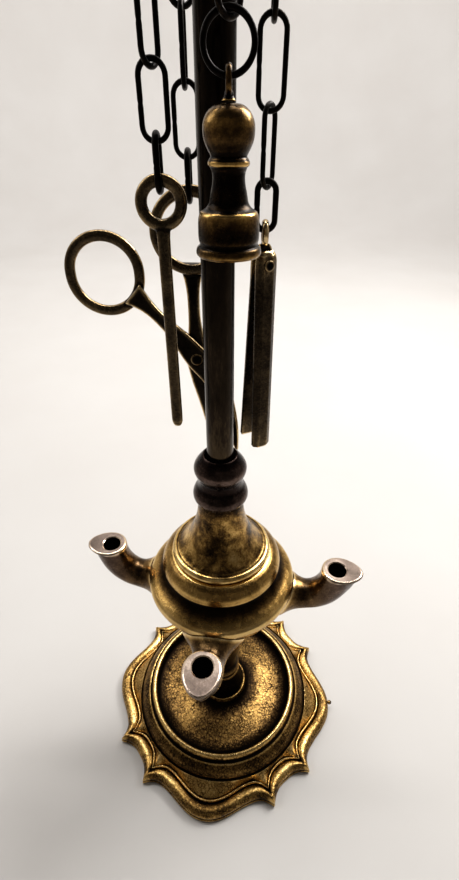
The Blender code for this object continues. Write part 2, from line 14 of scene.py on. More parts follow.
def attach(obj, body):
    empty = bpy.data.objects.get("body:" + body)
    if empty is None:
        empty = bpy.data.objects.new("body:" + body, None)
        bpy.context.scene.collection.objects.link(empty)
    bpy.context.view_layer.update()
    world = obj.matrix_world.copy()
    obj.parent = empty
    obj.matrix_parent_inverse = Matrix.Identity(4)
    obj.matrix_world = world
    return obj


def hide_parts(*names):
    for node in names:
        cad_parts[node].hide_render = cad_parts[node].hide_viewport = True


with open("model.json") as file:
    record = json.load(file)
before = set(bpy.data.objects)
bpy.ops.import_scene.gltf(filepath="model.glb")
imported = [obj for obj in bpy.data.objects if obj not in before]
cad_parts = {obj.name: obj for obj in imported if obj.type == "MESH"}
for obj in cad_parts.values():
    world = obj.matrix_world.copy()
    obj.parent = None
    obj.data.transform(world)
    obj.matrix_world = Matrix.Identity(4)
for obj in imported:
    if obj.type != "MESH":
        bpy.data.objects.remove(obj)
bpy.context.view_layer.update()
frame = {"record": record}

MM = 0.001
UP = Vector((0, 0, 1))
# The clearance between pieces that stand on each other.
GAP = 0.3

# Foot
FOOT_LOBE_R = 68.7
FOOT_CUSP_R = 68.2
FOOT_CORNER_R = 61.5
FOOT_WAIST_R = 62.3
FOOT_CUSP_DEG = 11.4
FOOT_WAIST_DEG = 20.5
FOOT_TURN_DEG = 37.5
FOOT_SEAT_Z = 20.0
FOOT_BORE_R = 4.3
FOOT_NUB_AT = (68.7, -7.5)
WASHER_TOP_Z = 14.7
WASHER_R = 9.0
NUT_R = 8.0
FASTENER_BORE_R = 4.1

# Rod
ROD_R = 5.5
STUD_R = 3.8
ROD_BORE_R = 5.8
ROD_BOTTOM_Z = 27.3
ROD_TOP_Z = 364.0
STUD_BOTTOM_Z = 4.0
STUD_TOP_Z = 383.0

# Font, lid and spouts
FONT_SEAT_Z = 98.3
FONT_TUBE_R = 8.4
FONT_BORE_R = 6.1
FONT_TUBE_TOP_Z = 150.0
LID_BORE_R = 6.2
FONT_RIM_Z = 141.6
LID_RIM_Z = 141.9
LID_TOP_Z = 174.0
COLLAR_SEAT_Z = 174.3
COLLAR_TOP_Z = 198.0
SPOUT_TURNS_DEG = {"front": -96.0, "right": -8.2, "rear": 88.0, "left": 172.8}
SPOUT_PORT_Z = 116.0
SPOUT_BORE_R = 4.3
MOUTH_R = 56.4
MOUTH_Z = 135.5

# Wheel, chains and tools
WHEEL_Z = 369.0
WHEEL_R = 16.5
WHEEL_WIRE_R = 1.4
LINK_WIRE = 1.5
LINK_WIDTH = 8.5
END_LINK_WIRE = 1.9
END_LINK_WIDTH = 7.6
END_LINK_SPAN = 13.8
CONTACT_GAP = 0.15
SNUFFER_DEG = -77.0
PICK_DEG = 190.0
SCISSORS_DEG = 124.5
TWEEZERS_DEG = 24.0
SNUFFER_RING_Z = 324.9
SNUFFER_RING_R = 5.85
PICK_RING_Z = 291.0
PICK_RING_R = 5.9
PICK_RING_WIRE_R = 1.8
SCISSOR_RING_Z = 280.4
FINGER_RING_R = 12.2
FINGER_RING_WIRE_R = 1.9
SCISSOR_PIVOT_X = -9.0
SCISSOR_PIVOT_Z = 235.2
SCISSOR_HALF_T = 2.3
TWEEZER_EYE_Z = 281.4
TWEEZER_EYE_R = 3.0
TWEEZER_EYE_WIRE_R = 1.1
TWEEZER_PIVOT_Z = 272.0
TWEEZER_BORE_R = 1.3

# Camera: where it stands, where it points, and its lens on a 36 mm sensor.
CAMERA_AT = (5.52, -150.0, 308.83)
CAMERA_PITCH_DEG = 34.71
CAMERA_YAW_DEG = -0.626
CAMERA_ROLL_DEG = 0.133
CAMERA_LENS = 18.36

BODY_OF = {
    node: body
    for body, nodes in frame["record"]["behaviour"]["bodies"].items()
    for node in nodes
}


# ---- mesh helpers

def heading(degrees):
    angle = math.radians(degrees)
    return Vector((math.cos(angle), math.sin(angle), 0))


def smooth_run(points, per_gap):
    """Points on a Catmull-Rom curve through the given points, whatever their number of values."""
    if len(points) < 3:
        return [tuple(point) for point in points]
    path = [np.array(point, float) for point in points]
    padded = [2 * path[0] - path[1]] + path + [2 * path[-1] - path[-2]]
    out = []
    for i in range(1, len(padded) - 2):
        a, b, c, d = padded[i - 1:i + 3]
        for step in range(per_gap):
            t = step / per_gap
            out.append(tuple(0.5 * (2 * b + (c - a) * t + (2 * a - 5 * b + 4 * c - d) * t * t
                                    + (3 * b - 3 * c + d - a) * t ** 3)))
    return out + [tuple(path[-1])]


def joined_runs(runs, per_gap=5):
    """Smooth runs laid end to end, with a sharp corner where one ends and the next starts."""
    points = []
    for run in runs:
        for point in smooth_run(run, per_gap):
            if not points or np.abs(np.array(point) - np.array(points[-1])).max() > 1e-6:
                points.append(point)
    return points


def skin_rings(rings, closed_path):
    """A closed mesh over rings of points, capped at both ends unless the path closes."""
    shape = bmesh.new()
    rows = [[shape.verts.new(point) for point in ring] for ring in rings]
    pairs = list(zip(rows, rows[1:]))
    if closed_path:
        pairs.append((rows[-1], rows[0]))
    for low, high in pairs:
        for i in range(len(low)):
            j = (i + 1) % len(low)
            shape.faces.new((low[i], low[j], high[j], high[i]))
    if not closed_path:
        shape.faces.new(rows[0])
        shape.faces.new(rows[-1])
    return shape


def turned(profile, steps=96, centre=(0, 0)):
    """A body turned about Z from a closed loop of (radius, z). A point at radius 0 is a pole."""
    shape = bmesh.new()
    rows = []
    for radius, z in profile:
        if radius < 1e-6:
            rows.append([shape.verts.new((centre[0], centre[1], z))])
            continue
        angles = (math.tau * i / steps for i in range(steps))
        rows.append([
            shape.verts.new((centre[0] + radius * math.cos(a), centre[1] + radius * math.sin(a), z))
            for a in angles
        ])
    for low, high in zip(rows, rows[1:] + rows[:1]):
        if len(low) == 1 and len(high) == 1:
            continue
        for i in range(steps):
            j = (i + 1) % steps
            corners = [low[i % len(low)], low[j % len(low)], high[j % len(high)], high[i % len(high)]]
            shape.faces.new(list(dict.fromkeys(corners)))
    return shape


def oval_spine(centre, turn_deg, half_width, straight, bend_steps, side_steps=1):
    """(point, outward direction) round an oval in the upright plane at this heading."""
    across = heading(turn_deg)
    spine = []
    for end in (1, -1):
        base = 0 if end == 1 else math.pi
        for i in range(bend_steps + 1):
            angle = base + math.pi * i / bend_steps
            outward = across * math.cos(angle) + UP * math.sin(angle)
            spine.append((Vector(centre) + UP * (end * straight / 2) + outward * half_width, outward))
        outward = -across * end
        start = spine[-1][0]
        for i in range(1, side_steps):
            spine.append((start - UP * (end * straight * i / side_steps), outward))
    if straight < 1e-6:
        kept = [spine[0]]
        for point, outward in spine[1:]:
            if (point - kept[-1][0]).length > 1e-4 and (point - kept[0][0]).length > 1e-4:
                kept.append((point, outward))
        spine = kept
    return spine


def wire_along(spine, turn_deg, section_r, depth_r, sides=16, waist=None):
    """A closed wire round a spine. waist maps a spine index to a share of the wire's radius."""
    through = heading(turn_deg + 90)
    rings = []
    for index, (middle, outward) in enumerate(spine):
        share = (waist or {}).get(index, 1.0)
        angles = (math.tau * (k + 0.5) / sides for k in range(sides))
        rings.append([
            middle + outward * (section_r * share * math.cos(a)) + through * (depth_r * share * math.sin(a))
            for a in angles
        ])
    return skin_rings(rings, closed_path=True)


def round_bar(start, end, radius, sides=32, chamfer=0.0):
    """A straight round bar, its ends chamfered."""
    start, end = Vector(start), Vector(end)
    along = (end - start).normalized()
    side = along.orthogonal().normalized()
    other = along.cross(side)
    stops = [(start, radius)]
    if chamfer:
        stops = [(start, radius - chamfer), (start + along * chamfer, radius),
                 (end - along * chamfer, radius), (end, radius - chamfer)]
    else:
        stops.append((end, radius))
    rings = []
    for middle, size in stops:
        angles = (math.tau * i / sides for i in range(sides))
        rings.append([middle + (side * math.cos(a) + other * math.sin(a)) * size for a in angles])
    return skin_rings(rings, closed_path=False)


def joined(*shapes):
    """One bmesh holding several closed shapes."""
    whole = bmesh.new()
    for shape in shapes:
        bmesh.ops.recalc_face_normals(shape, faces=shape.faces)
        held = bpy.data.meshes.new("held")
        shape.to_mesh(held)
        shape.free()
        whole.from_mesh(held)
        bpy.data.meshes.remove(held)
    return whole


def to_object(name, shape, sharp_deg=35):
    bmesh.ops.recalc_face_normals(shape, faces=shape.faces)
    shape.transform(Matrix.Scale(MM, 4))
    mesh = bpy.data.meshes.new(name)
    shape.to_mesh(mesh)
    shape.free()
    mesh.shade_smooth()
    mesh.set_sharp_from_angle(angle=math.radians(sharp_deg))
    made = bpy.data.objects.new(name, mesh)
    bpy.context.scene.collection.objects.link(made)
    return made


def apply_modifiers(piece, sharp_deg=35):
    graph = bpy.context.evaluated_depsgraph_get()
    mesh = bpy.data.meshes.new_from_object(piece.evaluated_get(graph))
    piece.modifiers.clear()
    piece.data = mesh
    mesh.shade_smooth()
    mesh.set_sharp_from_angle(angle=math.radians(sharp_deg))
    return piece


def fused(name, shape, voxel=0.3, rounds=6):
    """Overlapping closed shapes melted into one cast body, with soft fillets where they meet."""
    piece = to_object(name, shape)
    remesh = piece.modifiers.new("Melt", "REMESH")
    remesh.mode = "VOXEL"
    remesh.voxel_size = voxel * MM
    soften = piece.modifiers.new("Soften", "SMOOTH")
    soften.factor = 0.5
    soften.iterations = rounds
    return apply_modifiers(piece, 60)


def cut(piece, cutters):
    """Cuts shapes from a piece, and throws the cutters away."""
    for cutter in cutters:
        modifier = piece.modifiers.new("Cut", "BOOLEAN")
        modifier.operation = "DIFFERENCE"
        modifier.object = cutter
    bpy.context.view_layer.update()
    apply_modifiers(piece)
    for cutter in cutters:
        bpy.data.objects.remove(cutter)
    return piece


def store_wear(piece, reach=3.0):
    """Stores how convex (1) or hollow (0) the surface is at each vertex, against the piece's own
    usual roundness, as attribute "wear". It is what the patina reads: raised edges are rubbed
    bright and hollows stay dark."""
    mesh = piece.data
    count = len(mesh.vertices)
    points = np.empty(count * 3)
    mesh.vertices.foreach_get("co", points)
    points = points.reshape(-1, 3) / MM
    normals = np.empty(count * 3)
    mesh.vertex_normals.foreach_get("vector", normals)
    normals = normals.reshape(-1, 3)
    edges = np.empty(len(mesh.edges) * 2, int)
    mesh.edges.foreach_get("vertices", edges)
    a, b = edges.reshape(-1, 2).T
    step = points[b] - points[a]
    length = np.maximum(np.linalg.norm(step, axis=1), 1e-4)
    # The bend along an edge, in turns per millimetre: positive where the surface is convex.
    bend = ((normals[b] - normals[a]) * step).sum(1) / length ** 2
    weight = length
    total = np.bincount(a, bend * weight, count) + np.bincount(b, bend * weight, count)
    share = np.bincount(a, weight, count) + np.bincount(b, weight, count)
    curve = total / np.maximum(share, 1e-9)
    usual = float(np.median(curve))
    curve = np.clip((curve - usual) / (0.22 + abs(usual)), -4.0, 4.0)
    rounds = int(np.clip((reach / 2 / np.median(length)) ** 2, 2, 60))
    for _ in range(rounds):
        spread = np.bincount(a, curve[b], count) + np.bincount(b, curve[a], count)
        degree = np.bincount(a, minlength=count) + np.bincount(b, minlength=count)
        curve = 0.5 * curve + 0.5 * spread / np.maximum(degree, 1)
    wear = 0.5 + 0.5 * np.tanh(curve)
    layer = mesh.attributes.new("wear", "FLOAT", "POINT")
    layer.data.foreach_set("value", wear.astype(np.float32))


def finish_piece(piece, material, reach=3.0):
    """Gives a piece its material, and lets it stand for the CAD node of the same name."""
    # The CAD's node already has the plain name, so Blender adds a number to the piece's.
    node = piece.name.split(".")[0]
    store_wear(piece, reach)
    piece.data.materials.clear()
    piece.data.materials.append(material)
    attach(piece, BODY_OF[node])
    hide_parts(node)
    return piece


# ---- materials

class Nodes:
    """A short way to write a node tree."""

    def __init__(self, name):
        self.material = bpy.data.materials.new(name)
        self.material.use_nodes = True
        self.tree = self.material.node_tree
        self.shader = self.tree.nodes["Principled BSDF"]

    def add(self, kind, inputs=None, **settings):
        node = self.tree.nodes.new(kind)
        for key, value in settings.items():
            setattr(node, key, value)
        for key, value in (inputs or {}).items():
            if isinstance(value, bpy.types.NodeSocket):
                self.tree.links.new(value, node.inputs[key])
            else:
                node.inputs[key].default_value = value
        return node

    def noise(self, place, scale, detail=4.0, roughness=0.55, distortion=0.0):
        node = self.add("ShaderNodeTexNoise", {"Vector": place, "Scale": scale, "Detail": detail,
                                              "Roughness": roughness, "Distortion": distortion})
        return node.outputs["Fac"]

    def math(self, operation, first, second, clamp=False):
        node = self.add("ShaderNodeMath", {0: first, 1: second}, operation=operation, use_clamp=clamp)
        return node.outputs[0]

    def remap(self, value, low, high, to_low=0.0, to_high=1.0):
        node = self.add("ShaderNodeMapRange", {0: value, 1: low, 2: high, 3: to_low, 4: to_high})
        return node.outputs[0]

    def ramp(self, value, stops):
        node = self.add("ShaderNodeValToRGB", {0: value})
        elements = node.color_ramp.elements
        while len(elements) < len(stops):
            elements.new(0.5)
        for element, (place, colour) in zip(elements, stops):
            element.position = place
            element.color = (*colour, 1.0)
        return node.outputs["Color"]

    def mix(self, share, first, second):
        node = self.add("ShaderNodeMix", {0: share, 6: first, 7: second}, data_type="RGBA")
        return node.outputs[2]

    def link(self, value, socket):
        self.tree.links.new(value, self.shader.inputs[socket])


def zone_shift(n, place, zones):
    """How far a piece's own zones move it up or down its colours. zones is "height" or "radius",
    then (millimetres, shift) knots."""
    axis, knots = zones
    parts = n.add("ShaderNodeSeparateXYZ", {"Vector": place}).outputs
    if axis == "height":
        value = parts["Z"]
    else:
        square = n.math("ADD", n.math("MULTIPLY", parts["X"], parts["X"]),
                        n.math("MULTIPLY", parts["Y"], parts["Y"]))
        value = n.math("SQRT", square, 0.0)
    low, high = knots[0][0], knots[-1][0]
    stops = [((mm - low) / (high - low), (0.5 + shift / 2,) * 3) for mm, shift in knots]
    share = n.remap(value, low * MM, high * MM)
    return n.remap(n.ramp(share, stops), 0.0, 1.0, -1.0, 1.0)


def aged_brass(name, stops, bright, blotch, speckle, grain, polish, bump,
               stretch=(1, 1, 1), zones=None, crackle=0.0, other=None):
    """Brass that is rubbed bright on its edges and dark in its hollows.

    stops are the patina's colours from hollow to edge. bright shifts the whole piece up or down
    them, blotch and speckle are how far the stains and the pits move it, grain scales the pits,
    polish is the roughness of the darkest and the brightest metal, and bump is the pits' depth.
    stretch scales the pattern along each axis. zones shift bands of the piece brighter or darker: painted
    highlights and painted shade, and on the foot partly patina bands too. crackle is how dark the fine cracks
    are. other is a second set of stops, and the zones that give its share."""
    n = Nodes(name)
    here = n.add("ShaderNodeTexCoord").outputs["Object"]
    place = n.add("ShaderNodeMapping", {"Vector": here, "Scale": stretch}).outputs["Vector"]
    wear = n.add("ShaderNodeAttribute", attribute_name="wear").outputs["Fac"]
    stains = n.noise(place, 75, 5, 0.6, 0.6)
    clouds = n.noise(place, 260, 4, 0.6, 0.3)
    pits = n.noise(place, 1100 * grain, 3, 0.65)
    specks = n.noise(place, 2300 * grain, 2, 0.5)

    level = n.remap(wear, 0.22, 0.86, 0.0, 1.0)
    level = n.math("ADD", level, bright)
    if zones:
        # The zones add painted highlights and painted shade to the level; on the foot they add patina bands
        # too.
        level = n.math("ADD", level, zone_shift(n, here, zones))
    level = n.math("ADD", level, n.remap(stains, 0.3, 0.7, -blotch * 0.45, blotch * 0.45))
    level = n.math("ADD", level, n.remap(clouds, 0.3, 0.7, -blotch * 0.22, blotch * 0.22))
    level = n.math("ADD", level, n.remap(pits, 0.35, 0.65, -speckle * 0.30, speckle * 0.16))
    level = n.math("ADD", level, n.remap(specks, 0.35, 0.65, -speckle * 0.12, speckle * 0.12), clamp=True)
    if crackle:
        cells = n.add("ShaderNodeTexVoronoi", {"Vector": place, "Scale": 600.0},
                      feature="DISTANCE_TO_EDGE").outputs["Distance"]
        line = n.remap(cells, 0.0, 0.16, crackle, 0.0)
        level = n.math("SUBTRACT", level, n.math("MULTIPLY", line, n.remap(clouds, 0.4, 0.6)), clamp=True)

    colour = n.ramp(level, stops)
    if other:
        share = zone_shift(n, here, other[1])
        colour = n.mix(share, colour, n.ramp(level, other[0]))
    n.link(colour, "Base Color")
    n.shader.inputs["Metallic"].default_value = 1.0
    rough = n.remap(level, 0.0, 1.0, *polish)
    rough = n.math("ADD", rough, n.remap(clouds, 0.3, 0.7, -0.05, 0.07), clamp=True)
    n.link(rough, "Roughness")

    height = n.math("MULTIPLY", pits, 0.6)
    height = n.math("ADD", height, n.math("MULTIPLY", clouds, 0.9))
    height = n.math("ADD", height, n.math("MULTIPLY", specks, 0.25))
    relief = n.add("ShaderNodeBump", {"Strength": bump, "Distance": 0.0006, "Height": height})
    n.link(relief.outputs["Normal"], "Normal")
    return n.material


BLACK_BROWN = (0.008, 0.005, 0.003)
DARK_BROWN = (0.030, 0.018, 0.008)
BROWN = (0.105, 0.063, 0.024)
OCHRE = (0.27, 0.165, 0.055)
GOLD = (0.56, 0.37, 0.135)
PALE_GOLD = (0.78, 0.57, 0.26)

# Each patina's colours, from hollow to edge.
GOLDEN = [(0.0, BLACK_BROWN), (0.2, DARK_BROWN), (0.38, BROWN), (0.55, OCHRE), (0.75, GOLD),
          (1.0, PALE_GOLD)]
UMBER = [(0.0, (0.006, 0.004, 0.004)), (0.3, (0.030, 0.020, 0.017)), (0.55, (0.115, 0.082, 0.068)),
         (0.8, (0.30, 0.22, 0.18)), (1.0, (0.75, 0.62, 0.5))]
TOOL = [(0.0, (0.005, 0.004, 0.003)), (0.3, (0.030, 0.022, 0.015)), (0.55, (0.105, 0.078, 0.046)),
        (0.8, (0.30, 0.215, 0.115)), (1.0, (0.75, 0.58, 0.33))]
CHAIN = [(0.0, (0.003, 0.002, 0.002)), (0.5, (0.012, 0.009, 0.007)), (0.8, (0.04, 0.029, 0.018)),
         (1.0, (0.2, 0.14, 0.07))]
PLATE = [(0.0, (0.03, 0.022, 0.018)), (0.4, (0.11, 0.088, 0.074)), (0.7, (0.21, 0.165, 0.14)),
         (1.0, (0.50, 0.41, 0.34))]

# Zones of a piece that are painted brighter or darker than its wear alone, mostly painted highlights and
# painted shade: (millimetres, shift) knots.
# Painted reflection and painted shade: the rod is painted lighter just above the collar, a painted reflection
# of the pale table, and a little darker towards its top.
ROD_PAINTED_LIGHT_ZONES = ("height", [(20, 0.0), (110, 0.0), (198, 0.16), (225, 0.06), (260, -0.04), (364, -0.06)])
# Painted shadow: the foot is painted darker round the pedestal, where the pedestal and bowl shade it. Its
# brighter dish, crest and crescents are partly painted highlight and partly the patina's own bands.
FOOT_PATINA_AND_PAINTED_LIGHT_ZONES = ("radius", [(4, -0.25), (13.5, -0.25), (18, -0.12), (24, 0.06), (34, 0.1), (39, -0.08),
                         (41, -0.25), (42.2, -0.05), (43.4, 0.1), (45, -0.05), (46, -0.12),
                         (50.5, -0.08), (51.6, -0.3), (52.6, 0.16), (54, 0.22), (58, 0.22),
                         (61, 0.02), (64, -0.1), (68.4, -0.1), (69.6, -0.7)])
# Painted shade: the pedestal is painted much darker at its base, low under the font, and lighter upwards.
PEDESTAL_PAINTED_SHADE_ZONES = ("height", [(5, -0.8), (23, -0.7), (26, -0.3), (40, -0.1), (60, 0.0)])
# Painted shade: the collar is painted darker near its bore, where the rod goes into it. The washer and nut,
# which share this material, are darkened the same way.
COLLAR_PAINTED_SHADE_ZONES = ("radius", [(7.2, -0.7), (8.4, -0.3), (9.6, 0.0)])
# Painted light: the font's crest and band are painted brighter, painted highlights; its cove, its foot at the
# pedestal and its top under the lid's rim are painted darker, painted shade.
FONT_PAINTED_LIGHT_ZONES = ("height", [(98, 0.0), (101.5, -0.2), (104, -0.12), (112, -0.12), (117, -0.02),
                         (122, 0.16), (125.5, 0.18), (127.5, 0.0), (129, -0.3), (132.5, -0.34),
                         (133.9, 0.05), (134.6, 0.14), (136, 0.04), (140, -0.04), (142, -0.2)])
# Painted light: the lid's bead and slope are painted brighter, painted highlights; it is painted darker below
# its rim and at its neck under the collar, painted shade.
LID_PAINTED_LIGHT_ZONES = ("height", [(139, -0.2), (141.8, -0.1), (142.6, 0.08), (145.2, 0.14), (146.2, 0.06),
                        (149.5, 0.16), (152, 0.06), (156, -0.04), (163, -0.02), (168, -0.08),
                        (171, -0.3), (174, -0.6)])
# Painted light: the snuffer's shoulder and ball are painted brighter, painted highlights; its neck and the
# creases by its rings are painted darker, painted shade.
SNUFFER_PAINTED_LIGHT_ZONES = ("height", [(278, -0.1), (281, 0.0), (282.6, -0.3), (285, -0.15), (288.6, 0.06),
                            (290.5, 0.08), (292, -0.06), (294, -0.25), (299, -0.2), (301.8, -0.08),
                            (303, -0.3), (305.5, -0.05), (309.5, 0.14), (312, 0.04), (314, -0.1)])
NEAR_BOWL = ("radius", [(30, 1.0), (40, 0.75), (50, 0.3), (55, 0.1), (62, 0.0)])

# Each patina: (stops, bright, blotch, speckle, grain, polish, bump), then what only it has.
PATINAS = {
    "foot": ((GOLDEN, 0.07, 0.28, 0.5, 0.8, (0.42, 0.27), 0.4), {"zones": FOOT_PATINA_AND_PAINTED_LIGHT_ZONES, "crackle": 0.42}),
    "pedestal": ((GOLDEN, -0.06, 0.35, 0.5, 1.0, (0.4, 0.22), 0.3), {"zones": PEDESTAL_PAINTED_SHADE_ZONES}),
    "font": ((GOLDEN, 0.13, 0.28, 0.25, 1.2, (0.34, 0.18), 0.16), {"zones": FONT_PAINTED_LIGHT_ZONES}),
    "spout": ((UMBER, 0.06, 0.3, 0.25, 1.2, (0.3, 0.18), 0.14), {"other": (GOLDEN, NEAR_BOWL)}),
    "lid": ((GOLDEN, 0.14, 0.7, 0.45, 1.1, (0.34, 0.18), 0.2), {"zones": LID_PAINTED_LIGHT_ZONES}),
    "collar": ((UMBER, 0.02, 0.3, 0.25, 1.0, (0.28, 0.17), 0.1), {"zones": COLLAR_PAINTED_SHADE_ZONES}),
    "rod": ((TOOL, -0.2, 0.3, 0.2, 1.0, (0.22, 0.14), 0.1), {"zones": ROD_PAINTED_LIGHT_ZONES, "stretch": (1, 1, 0.25)}),
    "tool": ((TOOL, 0.1, 0.25, 0.25, 1.0, (0.32, 0.19), 0.18), {}),
    "snuffer": ((GOLDEN, -0.14, 0.3, 0.25, 1.0, (0.28, 0.17), 0.14), {"zones": SNUFFER_PAINTED_LIGHT_ZONES}),
    "rivet": ((TOOL, -0.2, 0.2, 0.2, 1.0, (0.36, 0.25), 0.1), {}),
    "chain": ((CHAIN, -0.1, 0.4, 0.4, 1.0, (0.45, 0.3), 0.25), {}),
    "mouth": ((PLATE, -0.2, 0.35, 0.25, 1.0, (0.66, 0.5), 0.1), {}),
    # A lit copy of the mouth plates' patina: the front spout's mouth plate is painted brighter than the
    # others, painted light.
    "front_mouth": ((PLATE, -0.07, 0.4, 0.25, 1.0, (0.62, 0.48), 0.1), {}),
}


# ---- foot, pedestal and rod

def foot_outline(turn_deg):
    """The outline's radius at an angle from a corner's middle, which repeats each 90 degrees."""
    turn = abs((turn_deg + 45) % 90 - 45)
    if turn <= FOOT_CUSP_DEG:
        return FOOT_CORNER_R + (FOOT_CUSP_R - FOOT_CORNER_R) * (turn / FOOT_CUSP_DEG) ** 2.8
    if turn <= FOOT_WAIST_DEG:
        part = (FOOT_WAIST_DEG - turn) / (FOOT_WAIST_DEG - FOOT_CUSP_DEG)
        return FOOT_WAIST_R + (FOOT_CUSP_R - FOOT_WAIST_R) * part ** 2.6
    part = (turn - FOOT_WAIST_DEG) / (45 - FOOT_WAIST_DEG)
    return FOOT_WAIST_R + (FOOT_LOBE_R - FOOT_WAIST_R) * (0.5 - 0.5 * math.cos(math.pi * part))


def foot_turns():
    """Angles round the foot, closer together towards each cusp, with one on its point."""
    stops = [0, FOOT_CUSP_DEG, 45, 90 - FOOT_CUSP_DEG, 90]
    turns = []
    for corner in range(4):
        for low, high in zip(stops, stops[1:]):
            steps = 12 if high - low < 20 else 26
            turns += [corner * 90 + low + (high - low) * i / steps for i in range(steps)]
    return turns


def make_foot(material):
    turns = foot_turns()
    # Each run holds (share of circle, inset from the outline, circle's radius, height).
    under = [[(1, 0, FOOT_BORE_R, 15.0), (1, 0, 14, 14.6), (1, 0, 26, 11.4), (1, 0, 34, 10.8),
              (1, 0, 41, 14.6), (1, 0, 46, 11.5), (1, 0, 50, 7.0), (0, 9.5, 0, 3.0), (0, 5.8, 0, 0.4)],
             [(0, 5.5, 0, 0), (0, 0.9, 0, 0)]]
    edge = [[(0, 0.9, 0, 0), (0, 0.25, 0, 0.35), (0, 0, 0, 1.0), (0, 0.15, 0, 1.7), (0, 0.7, 0, 2.15)],
            [(0, 0.75, 0, 2.3), (0, 0.4, 0, 3.0), (0, 0.6, 0, 4.2), (0, 1.8, 0, 5.6), (0, 3.6, 0, 6.2),
             (0, 5.3, 0, 5.9), (0, 6.5, 0, 5.0), (0, 7.0, 0, 4.4)],
            [(0, 7.15, 0, 4.6), (0, 7.3, 0, 5.9), (0, 7.7, 0, 6.4), (0, 8.2, 0, 6.2), (0, 8.7, 0, 5.6)]]
    slope = [(i / 8, 8.7, 53.0, 5.6 + 4.5 * i / 8) for i in range(9)]
    top = [slope,
           [(1, 0, 53.0, 10.1), (1, 0, 52.3, 9.4), (1, 0, 51.9, 9.5)],
           [(1, 0, 51.9, 9.5), (1, 0, 51.4, 10.8), (1, 0, 50.0, 12.8), (1, 0, 48.2, 14.5),
            (1, 0, 46.6, 15.6)],
           [(1, 0, 46.6, 15.6), (1, 0, 45.9, 15.3), (1, 0, 45.3, 15.6)],
           [(1, 0, 45.3, 15.6), (1, 0, 44.5, 17.8), (1, 0, 43.4, 18.7), (1, 0, 42.4, 18.2),
            (1, 0, 41.7, 16.4)],
           [(1, 0, 41.7, 16.4), (1, 0, 40.6, 14.7), (1, 0, 38.4, 13.6), (1, 0, 35.5, 13.2), (1, 0, 31, 13.6),
            (1, 0, 25, 14.7), (1, 0, 19, 15.8), (1, 0, 16, 17.0), (1, 0, 14.4, 18.6)],
           [(1, 0, 13.8, FOOT_SEAT_Z), (1, 0, FOOT_BORE_R, FOOT_SEAT_Z)]]
    rings = []
    for share, inset, radius, z in joined_runs(under + edge + top, 4):
        rings.append([
            heading(a + FOOT_TURN_DEG) * ((1 - share) * (foot_outline(a) - inset) + share * radius) + UP * z
            for a in turns
        ])
    # A blob of stray metal from the casting stands out of the roll, on the right.
    nub = turned(smooth_run([(0, 3.6), (0.9, 4.1), (1.3, 5.0), (0.8, 6.0), (0, 6.3)], 3), 20, FOOT_NUB_AT)
    finish_piece(to_object("foot", joined(skin_rings(rings, True), nub)), material, 2.2)


def make_foot_fasteners(material):
    top, low = WASHER_TOP_Z, WASHER_TOP_Z - 1.5
    washer = [(FASTENER_BORE_R, top), (WASHER_R - 0.2, top), (WASHER_R, top - 0.2), (WASHER_R, low + 0.2),
              (WASHER_R - 0.2, low), (FASTENER_BORE_R, low)]
    finish_piece(to_object("foot_washer", turned(washer, 64)), material)

    # The nut: a hexagon with its ends drawn in, eight points to a side.
    high, low = low - GAP, low - GAP - 6.0
    turns = [60 * i + 7.5 * step for i in range(6) for step in range(8)]
    flat = math.cos(math.pi / 6)
    radii = [NUT_R * min(1.0, flat / math.cos(math.radians(turn % 60 - 30))) for turn in turns]

    def hexagon(z, share=1.0):
        return [heading(turn) * (radius * share) + UP * z for turn, radius in zip(turns, radii)]

    rings = [hexagon(high, 0.93), hexagon(high - 0.5), hexagon(low + 0.5), hexagon(low, 0.93)]
    for z in (low, high):
        rings.append([heading(turn) * FASTENER_BORE_R + UP * z for turn in turns])
    finish_piece(to_object("foot_nut", skin_rings(rings, True)), material)


def make_pedestal(material):
    seat_z = FOOT_SEAT_Z + GAP
    runs = [[(FOOT_BORE_R, seat_z), (13.2, seat_z)],
            [(13.2, seat_z), (12.9, 21.4), (12.0, 24), (11.1, 27.4), (10.2, 30.4), (9.5, 33.2)],
            [(9.5, 33.4), (9.9, 34.1), (10.1, 35.1), (9.8, 36.1), (9.3, 36.6)],
            [(9.2, 36.9), (9.8, 37.9), (9.9, 39.2), (9.4, 40.6), (8.5, 42.4), (8.2, 45), (8.6, 49),
             (10.2, 56), (12.5, 65), (13.6, 73), (13.1, 81), (10.9, 87.5), (9.2, 90.6)],
            [(8.9, 91.0), (8.8, 92.0), (9.2, 93.2), (11.2, 94.2), (12.5, 95.5), (12.8, 96.8), (12.2, 98.0)],
            [(12.2, 98.0), (ROD_BORE_R, 98.0)],
            [(ROD_BORE_R, 98.0), (ROD_BORE_R, ROD_BOTTOM_Z - GAP)],
            [(ROD_BORE_R, ROD_BOTTOM_Z - GAP), (FOOT_BORE_R, ROD_BOTTOM_Z - GAP)]]
    finish_piece(to_object("pedestal", turned(joined_runs(runs))), material, 2.5)


def make_rod(material):
    levels = [ROD_TOP_Z - (ROD_TOP_Z - ROD_BOTTOM_Z) * i / 40 for i in range(41)]
    profile = [(0, STUD_TOP_Z), (STUD_R - 0.4, STUD_TOP_Z), (STUD_R, STUD_TOP_Z - 0.4), (STUD_R, ROD_TOP_Z)]
    profile += [(ROD_R, z) for z in levels]
    profile += [(STUD_R, ROD_BOTTOM_Z), (STUD_R, STUD_BOTTOM_Z + 0.4), (STUD_R - 0.4, STUD_BOTTOM_Z),
                (0, STUD_BOTTOM_Z)]
    finish_piece(to_object("rod", turned(profile, 64)), material)


# ---- font, spouts and lid

